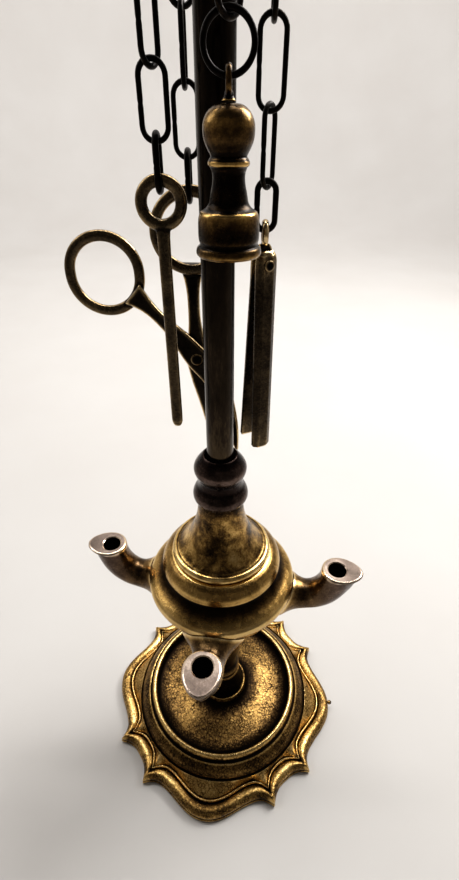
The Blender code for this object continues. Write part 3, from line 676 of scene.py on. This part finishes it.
def make_font(material):
    runs = [[(FONT_BORE_R, FONT_SEAT_Z), (12.4, FONT_SEAT_Z)],
            [(12.4, FONT_SEAT_Z), (12.9, 99.2), (12.7, 100.4), (11.8, 101.4)],
            [(11.8, 101.6), (12.6, 102.9), (16.4, 104.2), (21.5, 105.9), (28.0, 109.9), (33.2, 115.3),
             (35.8, 120.2), (36.3, 122.9), (35.7, 124.8), (33.8, 126.3), (31.0, 127.9), (28.7, 129.7),
             (27.6, 131.4), (27.7, 133.0), (28.4, 133.9)],
            [(28.4, 133.9), (28.75, 134.3), (28.75, 135.3), (28.3, 137.3), (27.0, 139.4), (25.2, 140.9),
             (23.6, FONT_RIM_Z)],
            [(23.6, FONT_RIM_Z), (21.1, FONT_RIM_Z)],
            [(21.1, FONT_RIM_Z), (21.1, 139.5)],
            [(21.1, 139.5), (23.8, 137.0), (25.0, 133.4), (25.6, 130.5), (28.5, 127.2), (31.8, 123.6),
             (32.4, 120.0), (30.0, 116.6), (24.5, 111.5), (15.0, 107.6), (FONT_TUBE_R, 107.0)],
            [(FONT_TUBE_R, 107.0), (FONT_TUBE_R, FONT_TUBE_TOP_Z)],
            [(FONT_TUBE_R, FONT_TUBE_TOP_Z), (FONT_BORE_R, FONT_TUBE_TOP_Z)]]
    bowl = to_object("font_bowl", turned(joined_runs(runs), 144))
    ports = []
    for name, turn in SPOUT_TURNS_DEG.items():
        port = round_bar(heading(turn) * 25 + UP * (SPOUT_PORT_Z + 0.4),
                         heading(turn) * 42 + UP * (SPOUT_PORT_Z - 0.6), SPOUT_BORE_R)
        ports.append(to_object("port_" + name, port))
    finish_piece(cut(bowl, ports), material)


def teardrop(angle, lip, beak):
    """A circle of radius lip with a softly pointed beak on its outer side."""
    if beak <= lip:
        return lip
    tangent = math.acos(lip / beak)
    turn = abs((angle + math.pi) % math.tau - math.pi)
    if turn >= tangent:
        return lip
    soft = math.sqrt(turn * turn + 0.012) if turn < 0.4 else turn
    return lip / math.cos(max(tangent - soft, 0))


def lip_radius(turn_deg):
    """The mouth plate's outline from the bore's middle, at an angle from the beak's point."""
    turns = (0, 15, 30, 45, 60, 75, 90, 120, 180)
    radii = (12.3, 11.6, 10.4, 9.4, 8.7, 8.2, 7.9, 7.5, 7.2)
    return float(np.interp(abs((turn_deg + 180) % 360 - 180), turns, radii))


def lip_ring(out, side, z, inset, sides=64):
    """A ring round the mouth plate, level at this height and set in from its outline."""
    ring = []
    for i in range(sides):
        angle = math.tau * i / sides
        radius = lip_radius(math.degrees(angle)) - inset
        # The beak's point faces away from the rod, and the ring starts there.
        ring.append(out * (MOUTH_R + radius * math.cos(angle)) + side * (radius * math.sin(angle)) + UP * z)
    return ring


def spout_stations():
    """(distance out, height, climb in degrees, radius, beak, sideways flare) from inside the bowl
    to the mouth."""
    knots = [(29.0, 116.4, -8, 9.4, 9.4, 1.7), (32.5, 115.9, -8, 9.0, 9.0, 1.5),
             (36.0, 115.3, -6, 8.3, 8.3, 1.25), (39.5, 115.0, -1, 7.6, 7.6, 1.08),
             (43.5, 115.2, 10, 7.2, 7.4, 1), (47.5, 116.6, 26, 7.2, 7.8, 1), (51.2, 119.5, 45, 7.3, 8.5, 1),
             (54.0, 123.4, 61, 7.4, 9.3, 1), (55.7, 127.7, 75, 7.5, 10.2, 1),
             (56.3, 131.6, 85, 7.5, 11.2, 1), (MOUTH_R, 133.9, 90, 7.5, 11.9, 1)]
    return smooth_run(knots, 5)


def make_spout(name, turn, seat, material, mouth_material):
    out, side = heading(turn), heading(turn + 90)
    sides = 64
    turns = [math.tau * i / sides for i in range(sides)]

    def section(reach, z, climb, lip, beak, flare=1.0):
        lean = math.radians(climb)
        outward = out * math.sin(lean) - UP * math.cos(lean)
        middle = out * reach + UP * z
        return [middle + (outward * math.cos(a) + side * (flare * math.sin(a))) * teardrop(a, lip, beak)
                for a in turns]

    stations = spout_stations()
    rings = [section(*station) for station in stations]
    for drop, inset in ((0.6, 0.0), (0.25, 0.35), (0, 1.0), (0, 1.6)):
        rings.append(lip_ring(out, side, MOUTH_Z - drop, inset))
    rings.append(section(MOUTH_R, MOUTH_Z, 90, 4.75, 4.75))
    rings.append(section(MOUTH_R, MOUTH_Z - 0.35, 90, SPOUT_BORE_R, SPOUT_BORE_R))
    rings += [section(reach, z, climb, SPOUT_BORE_R, SPOUT_BORE_R)
              for reach, z, climb, *_ in stations[::-2]]
    piece = to_object("spout_" + name, skin_rings(rings, True), 30)
    flank = to_object("flank_" + name, seat(), 30)
    cut(piece, [flank])
    finish_piece(piece, material)
    piece.data.materials.append(mouth_material)
    for face in piece.data.polygons:
        if face.normal.z > 0.97 and face.center.z > (MOUTH_Z - 0.4) * MM:
            face.material_index = 1


def make_spouts(material, mouth_material, lit_front_mouth_material):
    def seat():
        flank = [[(0, 103.0), (12.0, 103.0), (16.6, 103.9), (21.7, 105.6), (28.2, 109.6), (33.45, 115.1),
                  (36.05, 120.1), (36.6, 122.9), (36.0, 125.0), (30.0, 130.0), (0, 130.0)]]
        return turned(joined_runs(flank), 96)

    for name, turn in SPOUT_TURNS_DEG.items():
        # The front spout's mouth gets the lit copy, painted brighter.
        make_spout(name, turn, seat, material, lit_front_mouth_material if name == "front" else mouth_material)


def make_lid(lid_material, collar_material):
    runs = [[(19.0, 139.2), (20.7, 139.2)],
            [(20.7, 139.2), (20.7, LID_RIM_Z)],
            [(20.7, LID_RIM_Z), (21.8, LID_RIM_Z)],
            [(21.8, LID_RIM_Z), (22.7, 142.3), (23.3, 143.3), (23.1, 144.6), (22.2, 145.5), (21.0, 145.7)],
            [(20.9, 145.8), (19.4, 146.8), (17.2, 149.4), (15.0, 152.8), (13.3, 156.6), (11.9, 160.8),
             (10.9, 165.0), (10.2, 169.5), (9.7, 172.6), (9.4, LID_TOP_Z)],
            [(9.4, LID_TOP_Z), (LID_BORE_R, LID_TOP_Z)],
            [(LID_BORE_R, LID_TOP_Z), (LID_BORE_R, 163.0)],
            [(LID_BORE_R, 163.0), (8.2, 157.4), (10.6, 152.8), (14.4, 148.3), (19.0, 144.2)]]
    finish_piece(to_object("lid", turned(joined_runs(runs), 128)), lid_material)
    runs = [[(LID_BORE_R, COLLAR_SEAT_Z), (9.5, COLLAR_SEAT_Z)],
            [(9.5, COLLAR_SEAT_Z), (10.9, 174.7), (11.8, 175.8), (12.1, 177.3), (11.8, 179.1),
             (10.9, 180.9), (9.9, 182.6), (9.5, 184.6), (9.6, 186.2), (10.2, 187.6), (11.0, 189.4),
             (11.3, 191.4), (10.9, 193.0), (10.0, 194.6), (8.8, 196.2), (7.7, 197.5), (7.0, COLLAR_TOP_Z),
             (6.5, 197.6), (LID_BORE_R, 196.8)]]
    finish_piece(to_object("lid_collar", turned(joined_runs(runs), 96)), collar_material)


# ---- wheel, finial and carry ring

def make_wheel(material):
    hub = [[(FOOT_BORE_R, 364.3), (7.4, 364.3)], [(7.4, 364.3), (8.4, 365.3), (8.5, 366.6)],
           [(8.5, 366.6), (7.9, 367.4), (7.9, 370.8), (8.5, 371.6)],
           [(8.5, 371.6), (8.4, 373.0), (7.4, 374.0)],
           [(7.4, 374.0), (FOOT_BORE_R, 374.0)]]
    steps, sides = 120, 16
    rim = []
    for i in range(steps):
        out = heading(360 * i / steps)
        angles = (math.tau * k / sides for k in range(sides))
        rim.append([out * (WHEEL_R + WHEEL_WIRE_R * math.cos(a)) + UP * (WHEEL_Z + WHEEL_WIRE_R * math.sin(a))
                    for a in angles])
    shapes = [turned(joined_runs(hub), 64), skin_rings(rim, True)]
    for turn in (-35, 55, 145, 235):
        out = heading(turn)
        shapes.append(round_bar(out * 7 + UP * WHEEL_Z, out * WHEEL_R + UP * WHEEL_Z, 1.25, 20))
    finish_piece(fused("chain_wheel", joined(*shapes), 0.25, 4), material)


def make_finial(material):
    runs = [[(0, 403.0), (3.4, 403.0)], [(3.4, 403.0), (4.3, 402.4), (4.4, 401.4), (4.0, 400.4)],
            [(4.0, 400.2), (4.8, 399.2), (7.6, 397.0), (9.9, 393.9), (10.6, 390.8), (9.9, 387.2),
             (7.8, 384.0), (6.2, 381.8), (6.0, 380.2), (6.6, 379.2)],
            [(6.9, 379.0), (8.6, 378.4), (9.2, 377.0), (9.0, 375.2), (8.5, 374.3)],
            [(8.5, 374.3), (FOOT_BORE_R, 374.3)], [(FOOT_BORE_R, 374.3), (FOOT_BORE_R, 385.0)],
            [(FOOT_BORE_R, 385.0), (0, 385.0)]]
    finish_piece(to_object("finial", turned(joined_runs(runs), 80)), material)


def make_carry_ring(material):
    stem = [[(0, 407.5), (2.4, 407.2)],
            [(2.4, 407.2), (2.7, 405.8), (4.1, 404.8), (4.2, 403.6), (4.0, 403.3)],
            [(4.0, 403.3), (0, 403.3)]]
    loop = wire_along(oval_spine((0, 0, 421.0), 0, 14.0, 0, 48), 0, 2.3, 2.3)
    finish_piece(fused("carry_ring", joined(turned(joined_runs(stem), 40), loop), 0.3, 5), material)


# ---- chains

def even_spans(lowest_z, end_link, count):
    """Wire-to-wire lengths of the links that fill the height between a tool and the wheel."""
    height = WHEEL_Z + WHEEL_WIRE_R + LINK_WIRE / 2 + CONTACT_GAP - lowest_z
    if end_link:
        height -= END_LINK_SPAN - (END_LINK_WIRE + LINK_WIRE) / 2 - CONTACT_GAP
    span = (height + (count - 1) * (LINK_WIRE + CONTACT_GAP)) / count
    return ([END_LINK_SPAN] if end_link else []) + [span] * count


def make_chain(tool, hang_deg, lowest_z, end_link, count, turns, material):
    """Links from a tool up to the wheel. turns are their headings, lowest first. Each is a bent
    wire whose ends meet in the middle of one side, where a fine seam shows."""
    place = heading(hang_deg) * WHEEL_R
    spans = even_spans(lowest_z, end_link, count)
    z = lowest_z
    for i, (span, turn) in enumerate(zip(spans, turns)):
        small = end_link and i == 0
        wire, width = (END_LINK_WIRE, END_LINK_WIDTH) if small else (LINK_WIRE, LINK_WIDTH)
        half = (width - wire) / 2
        name = f"{tool}_end_link" if small else f"{tool}_link_{len(spans) - i}"
        straight = span - 2 * half
        side_steps = 13
        spine = oval_spine(place + UP * (z + span / 2), turn, half, straight, 14, side_steps)
        seam = 14 + side_steps // 2 + 1
        link = wire_along(spine, turn, wire / 2, wire / 2, 14, {seam: 0.86})
        finish_piece(to_object(name, link, 50), material)
        z += span - (wire + LINK_WIRE) / 2 - CONTACT_GAP


def make_chains(material):
    low = SNUFFER_RING_Z + SNUFFER_RING_R - LINK_WIRE - CONTACT_GAP
    make_chain("snuffer", SNUFFER_DEG, low, False, 2, (45, 103), material)
    low = PICK_RING_Z + PICK_RING_R - PICK_RING_WIRE_R - END_LINK_WIRE / 2 - CONTACT_GAP
    make_chain("pick", PICK_DEG, low, True, 4, (90, 0, 62, 118, 10), material)
    low = SCISSOR_RING_Z + FINGER_RING_R - FINGER_RING_WIRE_R - END_LINK_WIRE / 2 - CONTACT_GAP
    make_chain("scissors", SCISSORS_DEG, low, True, 4, (90, 0, 90, 30, 124), material)
    low = TWEEZER_EYE_Z + TWEEZER_EYE_R - TWEEZER_EYE_WIRE_R - END_LINK_WIRE / 2 - CONTACT_GAP
    make_chain("tweezers", TWEEZERS_DEG, low, True, 4, (0, 62, 0, 90, 24), material)


# ---- wick tools

def make_snuffer(material, chain_material):
    x, y = (heading(SNUFFER_DEG) * WHEEL_R).xy
    runs = [[(0, 289.4), (3.0, 289.3), (5.2, 288.6), (6.7, 286.6), (7.2, 283.0), (7.35, 279.6)],
            [(7.5, 279.5), (8.5, 279.5)],
            [(8.5, 279.5), (9.0, 280.1), (9.1, 280.9), (8.8, 281.8), (8.1, 282.4)],
            [(8.1, 282.4), (8.0, 282.9)],
            [(8.0, 282.9), (8.35, 284.0), (8.4, 286.6), (8.25, 289.0), (7.7, 290.5), (6.6, 291.2)],
            [(6.6, 291.2), (6.2, 291.5)],
            [(6.2, 291.5), (5.6, 292.2), (5.2, 293.0), (4.9, 294.6), (4.3, 297.4), (4.3, 299.4),
             (4.7, 300.6)],
            [(4.8, 300.8), (5.3, 301.3), (5.4, 301.9), (5.1, 302.5)],
            [(5.0, 302.7), (4.7, 303.3), (5.4, 304.6), (6.2, 306.4), (6.5, 308.4), (6.3, 310.4), (5.3, 312.3),
             (3.8, 313.5), (2.2, 313.95), (0, 314.0)]]
    finish_piece(to_object("snuffer", turned(joined_runs(runs), 72, (x, y))), material, 1.5)
    profile = [(0, 316.3), (1.0, 316.3), (1.2, 315.2), (1.7, 314.5), (1.7, 314.3), (0, 314.3)]
    stem = turned(profile, 32, (x, y))
    loop = wire_along(oval_spine((x, y, 318.2), 90, 2.55, 0, 24), 90, 0.8, 0.8)
    finish_piece(fused("snuffer_eye", joined(stem, loop), 0.12, 3), material, 1.5)
    ring = wire_along(oval_spine((x, y, SNUFFER_RING_Z), 0, SNUFFER_RING_R, 0, 40), 0, 0.75, 0.75)
    finish_piece(to_object("snuffer_ring", ring), chain_material)


def make_pick(material):
    x, y = (heading(PICK_DEG) * WHEEL_R).xy
    knots = [(286.6, 3.6, 1.2), (284.6, 2.6, 1.4), (281.5, 2.05, 1.45), (270, 2.0, 1.45), (240, 2.05, 1.45),
             (218.5, 2.1, 1.4), (215.4, 1.9, 1.25), (214.0, 1.3, 0.9), (213.6, 0.5, 0.4)]
    rings = []
    for z, wide, deep in smooth_run(knots, 5):
        angles = (math.tau * i / 24 for i in range(24))
        rings.append([(x + wide * math.cos(a), y + deep * math.sin(a), z) for a in angles])
    loop = wire_along(oval_spine((x, y, PICK_RING_Z), 0, PICK_RING_R, 0, 40), 0, PICK_RING_WIRE_R, 1.5)
    finish_piece(fused("pick", joined(skin_rings(rings, False), loop), 0.22, 5), material, 1.5)


def ribbon(spine, pivot, y_low, y_high, bevel=0.45):
    """A flat bar with chamfered edges that follows (x, z, half width) points about a pivot."""
    points = smooth_run(spine, 5)
    rings = []
    for y, inset in ((y_low, bevel), (y_low + bevel, 0), (y_high - bevel, 0), (y_high, bevel)):
        left, right = [], []
        for i, (x, z, half) in enumerate(points):
            before, after = points[max(i - 1, 0)], points[min(i + 1, len(points) - 1)]
            run = Vector((after[0] - before[0], after[1] - before[1])).normalized()
            width = max(half - inset, 0.15)
            left.append((pivot[0] + x - run.y * width, y, pivot[1] + z + run.x * width))
            right.append((pivot[0] + x + run.y * width, y, pivot[1] + z - run.x * width))
        rings.append(left + right[::-1])
    return skin_rings(rings, False)


def rivet_heads(centre, out, across, up, knots, sides):
    """A domed head on each end of a rivet. knots are (distance from the middle, radius)."""
    heads = []
    for side in (-1, 1):
        rings = []
        for reach, size in knots:
            middle = Vector(centre) + out * (side * reach)
            angles = (math.tau * i / sides for i in range(sides))
            rings.append([middle + (across * math.cos(a) + up * math.sin(a)) * size for a in angles])
        heads.append(skin_rings(rings, False))
    return heads


def make_scissors(material, rivet_material):
    """Two halves, each a flat blade and shank melted into a finger ring, on one rivet."""
    hang_x, middle_y = (heading(SCISSORS_DEG) * WHEEL_R).xy
    pivot = (SCISSOR_PIVOT_X, SCISSOR_PIVOT_Z)
    half_gap = GAP / 2
    # (the half's layer, its ring's middle, the ring's straight part, (x, z, half width) from the pivot)
    halves = {
        "scissor_blade_front": ((-SCISSOR_HALF_T, -half_gap), (-40.5, 266.4), 1.3, [
            (-22.3, 24.8, 4.6), (-20.3, 23.0, 3.6), (-17, 19.8, 2.5), (-13.4, 16.0, 2.2), (-9.6, 12.0, 2.6),
            (-5.4, 7.2, 3.6), (0, 0, 4.6), (6.4, -8.4, 4.5), (11.2, -20, 3.5), (14.2, -33, 2.4),
            (16.0, -43.6, 0.7)]),
        "scissor_blade_rear": ((half_gap, SCISSOR_HALF_T), (hang_x, SCISSOR_RING_Z), 0, [
            (-0.5, 35.0, 4.9), (-0.6, 30.0, 3.2), (-0.6, 24, 2.3), (-0.5, 15, 2.3), (-0.2, 7, 3.2),
            (0, 0, 4.4), (1.4, -9, 4.3), (3.6, -20, 3.6), (5.4, -32, 2.5), (6.8, -43.6, 0.7)]),
    }
    for name, (layer, ring, straight, spine) in halves.items():
        near, far = (middle_y + y for y in layer)
        round_ring = oval_spine((ring[0], middle_y, ring[1]), 0, FINGER_RING_R, straight, 32)
        loop = wire_along(round_ring, 0, FINGER_RING_WIRE_R, 1.55)
        piece = fused(name, joined(ribbon(spine, pivot, near, far), loop), 0.26, 4)
        hole = round_bar((pivot[0], near - 1, pivot[1]), (pivot[0], far + 1, pivot[1]), 1.5)
        cut(piece, [to_object(name + "_hole", hole)])
        finish_piece(piece, material, 1.5)
    reach = SCISSOR_HALF_T + GAP
    centre, out = Vector((pivot[0], middle_y, pivot[1])), Vector((0, 1, 0))
    bar = round_bar(centre - out * (reach + 0.4), centre + out * (reach + 0.4), 1.2)
    knots = [(reach, 2.4), (reach + 0.35, 2.3), (reach + 0.65, 1.8), (reach + 0.85, 1.0)]
    heads = rivet_heads(centre, out, Vector((1, 0, 0)), UP, knots, 32)
    finish_piece(fused("scissor_rivet", joined(bar, *heads), 0.12, 4), rivet_material, 2.0)


def make_tweezers(material, rivet_material):
    """Two bars with faceted outer sides, each bent in at the top to its rivet."""
    place = heading(TWEEZERS_DEG) * WHEEL_R
    spread, wide = heading(115.5), heading(25.5)
    hinge = place + UP * TWEEZER_PIVOT_Z
    tongue = []
    thick = 0.7
    for z, half in ((278.2, 1.6), (277.0, 2.4), (275.5, 2.8), (268.5, 2.8), (267.5, 2.2)):
        corners = [(-half, -thick), (half, -thick), (half, thick), (-half, thick)]
        tongue.append([place + wide * a + spread * b + UP * z for a, b in corners])
    round_eye = oval_spine((place.x, place.y, TWEEZER_EYE_Z), 90, TWEEZER_EYE_R, 0, 24)
    loop = wire_along(round_eye, 90, TWEEZER_EYE_WIRE_R, TWEEZER_EYE_WIRE_R)
    eye = fused("tweezer_eye", joined(skin_rings(tongue, False), loop), 0.15, 3)

    def bore():
        bar = round_bar(hinge - spread * 12, hinge + spread * 12, TWEEZER_BORE_R, 24)
        return to_object("tweezer_bore", bar)

    cut(eye, [bore()])
    finish_piece(eye, material, 1.5)

    def section(half, thick):
        """Across the bar and out from its inner face, with a fine bevel on each ridge."""
        return [(-half + 0.25, 0), (half - 0.25, 0), (half, 0.25), (half, 0.42 * thick - 0.1),
                (half - 0.12, 0.42 * thick + 0.1), (0.48 * half + 0.15, thick - 0.12),
                (0.48 * half - 0.15, thick), (-0.48 * half + 0.15, thick),
                (-0.48 * half - 0.15, thick - 0.12),
                (-half + 0.12, 0.42 * thick + 0.1), (-half, 0.42 * thick - 0.1), (-half, 0.25)]

    # (height, half width, thickness, inner face's distance from the middle, shift to the left)
    stations = [(276.2, 2.4, 1.0, 1.0, 0), (275.9, 2.9, 1.5, 1.0, 0), (275.0, 3.5, 2.1, 1.0, 0),
                (273.4, 3.8, 2.5, 1.0, 0), (271.0, 3.85, 2.7, 1.02, 0), (266.5, 3.85, 2.7, 1.05, 0),
                (234, 3.85, 2.7, 2.8, 0.4), (202.2, 3.85, 2.7, 4.46, 0.8), (201.4, 3.5, 2.3, 4.5, 0.8)]
    for name, side in (("front", -1), ("rear", 1)):
        rings = []
        for z, half, thick, inner, shift in stations:
            middle = place - Vector((shift, 0, -z))
            rings.append([middle + wide * a + spread * (side * (inner + b)) for a, b in section(half, thick)])
        arm = to_object("tweezer_arm_" + name, skin_rings(rings, False), 20)
        cut(arm, [bore()])
        arm.data.set_sharp_from_angle(angle=math.radians(20))
        refine = arm.modifiers.new("Refine", "SUBSURF")
        refine.subdivision_type = "SIMPLE"
        refine.levels = refine.render_levels = 2
        apply_modifiers(arm, 20)
        finish_piece(arm, material, 1.0)
    reach = 1.0 + 2.7 + GAP
    bar = round_bar(hinge - spread * (reach + 0.2), hinge + spread * (reach + 0.2), 1.0, 24)
    knots = [(reach, 1.85), (reach + 0.3, 1.75), (reach + 0.52, 1.35), (reach + 0.66, 0.7)]
    heads = rivet_heads(hinge, spread, wide, UP, knots, 28)
    finish_piece(fused("tweezer_rivet", joined(bar, *heads), 0.12, 4), rivet_material, 3.0)


# ---- stage

def make_stage():
    """A pale table that sweeps up into a round wall, well clear of the lamp."""
    profile = [(0.0, -0.2), (1400, -0.2)]
    profile += [(1400 + 700 * math.sin(math.radians(a)), 700 - 0.2 - 700 * math.cos(math.radians(a)))
                for a in range(9, 91, 9)]
    profile.append((2100, 2400))
    steps = 96
    shape = bmesh.new()
    rows = []
    for radius, z in profile:
        if radius == 0:
            rows.append([shape.verts.new((0, 0, z))])
            continue
        rows.append([shape.verts.new(heading(360 * i / steps) * radius + UP * z) for i in range(steps)])
    for low, high in zip(rows, rows[1:]):
        for i in range(steps):
            j = (i + 1) % steps
            corners = [low[i % len(low)], low[j % len(low)], high[j], high[i]]
            shape.faces.new(list(dict.fromkeys(corners)))
    floor = to_object("floor", shape)
    n = Nodes("pale_floor")
    place = n.add("ShaderNodeTexCoord").outputs["Object"]
    mottle = n.noise(place, 6, 4, 0.5)
    paper = n.ramp(mottle, [(0.3, (0.53, 0.51, 0.49)), (0.7, (0.555, 0.538, 0.52))])
    # The wall is pale behind the lamp and painted dark in front of it: painted shade that stands for the dark
    # room behind a viewer, for the metal to reflect.
    depth = n.add("ShaderNodeSeparateXYZ", {"Vector": place}).outputs["Y"]
    shade = n.remap(depth, -1.3, -0.5, 0.0, 1.0)
    n.link(n.mix(shade, (0.16, 0.15, 0.14, 1), paper), "Base Color")
    n.shader.inputs["Roughness"].default_value = 0.7
    floor.data.materials.append(n.material)


def add_area_light(name, place, target, size, watts, colour=(1, 1, 1)):
    light = bpy.data.lights.new(name, "AREA")
    light.shape = "RECTANGLE"
    light.size, light.size_y = size
    light.energy = watts
    light.color = colour
    lamp = bpy.data.objects.new(name, light)
    lamp.location = place
    lamp.rotation_euler = (Vector(target) - Vector(place)).to_track_quat("-Z", "Y").to_euler()
    bpy.context.scene.collection.objects.link(lamp)


def make_lights():
    """A key light from the back right, a weaker one from the back left, a wide one that washes the
    wall behind the lamp, and a sky that is bright towards the back and dark in front."""
    middle = (0, 0, 0.15)
    add_area_light("key", (0.6, 0.42, 0.85), middle, (0.4, 0.4), 7.4, (1.0, 0.99, 0.97))
    add_area_light("side", (-0.75, 0.2, 0.8), middle, (0.4, 0.4), 1.3, (0.98, 0.99, 1.0))
    add_area_light("wall", (0, 0.6, 1.8), (0, 2.0, 0.6), (1.8, 0.4), 40, (1.0, 0.985, 0.97))
    world = bpy.data.worlds.new("studio")
    bpy.context.scene.world = world
    world.use_nodes = True
    tree = world.node_tree
    sky = tree.nodes["Background"]
    sky.inputs["Strength"].default_value = 1.0
    direction = tree.nodes.new("ShaderNodeTexCoord")
    parts = tree.nodes.new("ShaderNodeSeparateXYZ")
    tree.links.new(direction.outputs["Generated"], parts.inputs["Vector"])
    back = tree.nodes.new("ShaderNodeMapRange")
    for socket, value in (("From Min", -0.1), ("From Max", 0.45), ("To Min", 0.0), ("To Max", 1.0)):
        back.inputs[socket].default_value = value
    tree.links.new(parts.outputs["Y"], back.inputs["Value"])
    tone = tree.nodes.new("ShaderNodeValToRGB")
    tone.color_ramp.elements[0].color = (0.06, 0.057, 0.055, 1)
    tone.color_ramp.elements[1].color = (1.5, 1.46, 1.4, 1)
    tree.links.new(back.outputs["Result"], tone.inputs["Fac"])
    tree.links.new(tone.outputs["Color"], sky.inputs["Color"])
    bpy.context.scene.view_settings.view_transform = "Standard"
    bpy.context.scene.view_settings.look = "Medium High Contrast"


def make_camera():
    pitch, yaw, roll = (math.radians(a) for a in (CAMERA_PITCH_DEG, CAMERA_YAW_DEG, CAMERA_ROLL_DEG))
    ahead = Vector((math.sin(yaw) * math.cos(pitch), math.cos(yaw) * math.cos(pitch), -math.sin(pitch)))
    level = Vector((math.cos(yaw), -math.sin(yaw), 0))
    upright = level.cross(ahead)
    right = level * math.cos(roll) + upright * math.sin(roll)
    above = upright * math.cos(roll) - level * math.sin(roll)
    data = bpy.data.cameras.new("camera")
    data.sensor_width = 36
    data.lens = CAMERA_LENS
    data.clip_start = 0.01
    camera = bpy.data.objects.new("camera", data)
    axes = Matrix((right, above, -ahead)).transposed().to_4x4()
    camera.matrix_world = Matrix.Translation(Vector(CAMERA_AT) * MM) @ axes
    bpy.context.scene.collection.objects.link(camera)
    bpy.context.scene.camera = camera


def main():
    make_camera()
    paint = {name: aged_brass(name + "_brass", *look, **more) for name, (look, more) in PATINAS.items()}
    make_foot(paint["foot"])
    make_foot_fasteners(paint["collar"])
    make_pedestal(paint["pedestal"])
    make_rod(paint["rod"])
    make_font(paint["font"])
    make_spouts(paint["spout"], paint["mouth"], paint["front_mouth"])
    make_lid(paint["lid"], paint["collar"])
    make_wheel(paint["tool"])
    make_finial(paint["font"])
    make_carry_ring(paint["font"])
    make_snuffer(paint["snuffer"], paint["chain"])
    make_pick(paint["tool"])
    make_scissors(paint["tool"], paint["rivet"])
    make_tweezers(paint["tool"], paint["rivet"])
    make_chains(paint["chain"])
    make_stage()
    make_lights()


main()
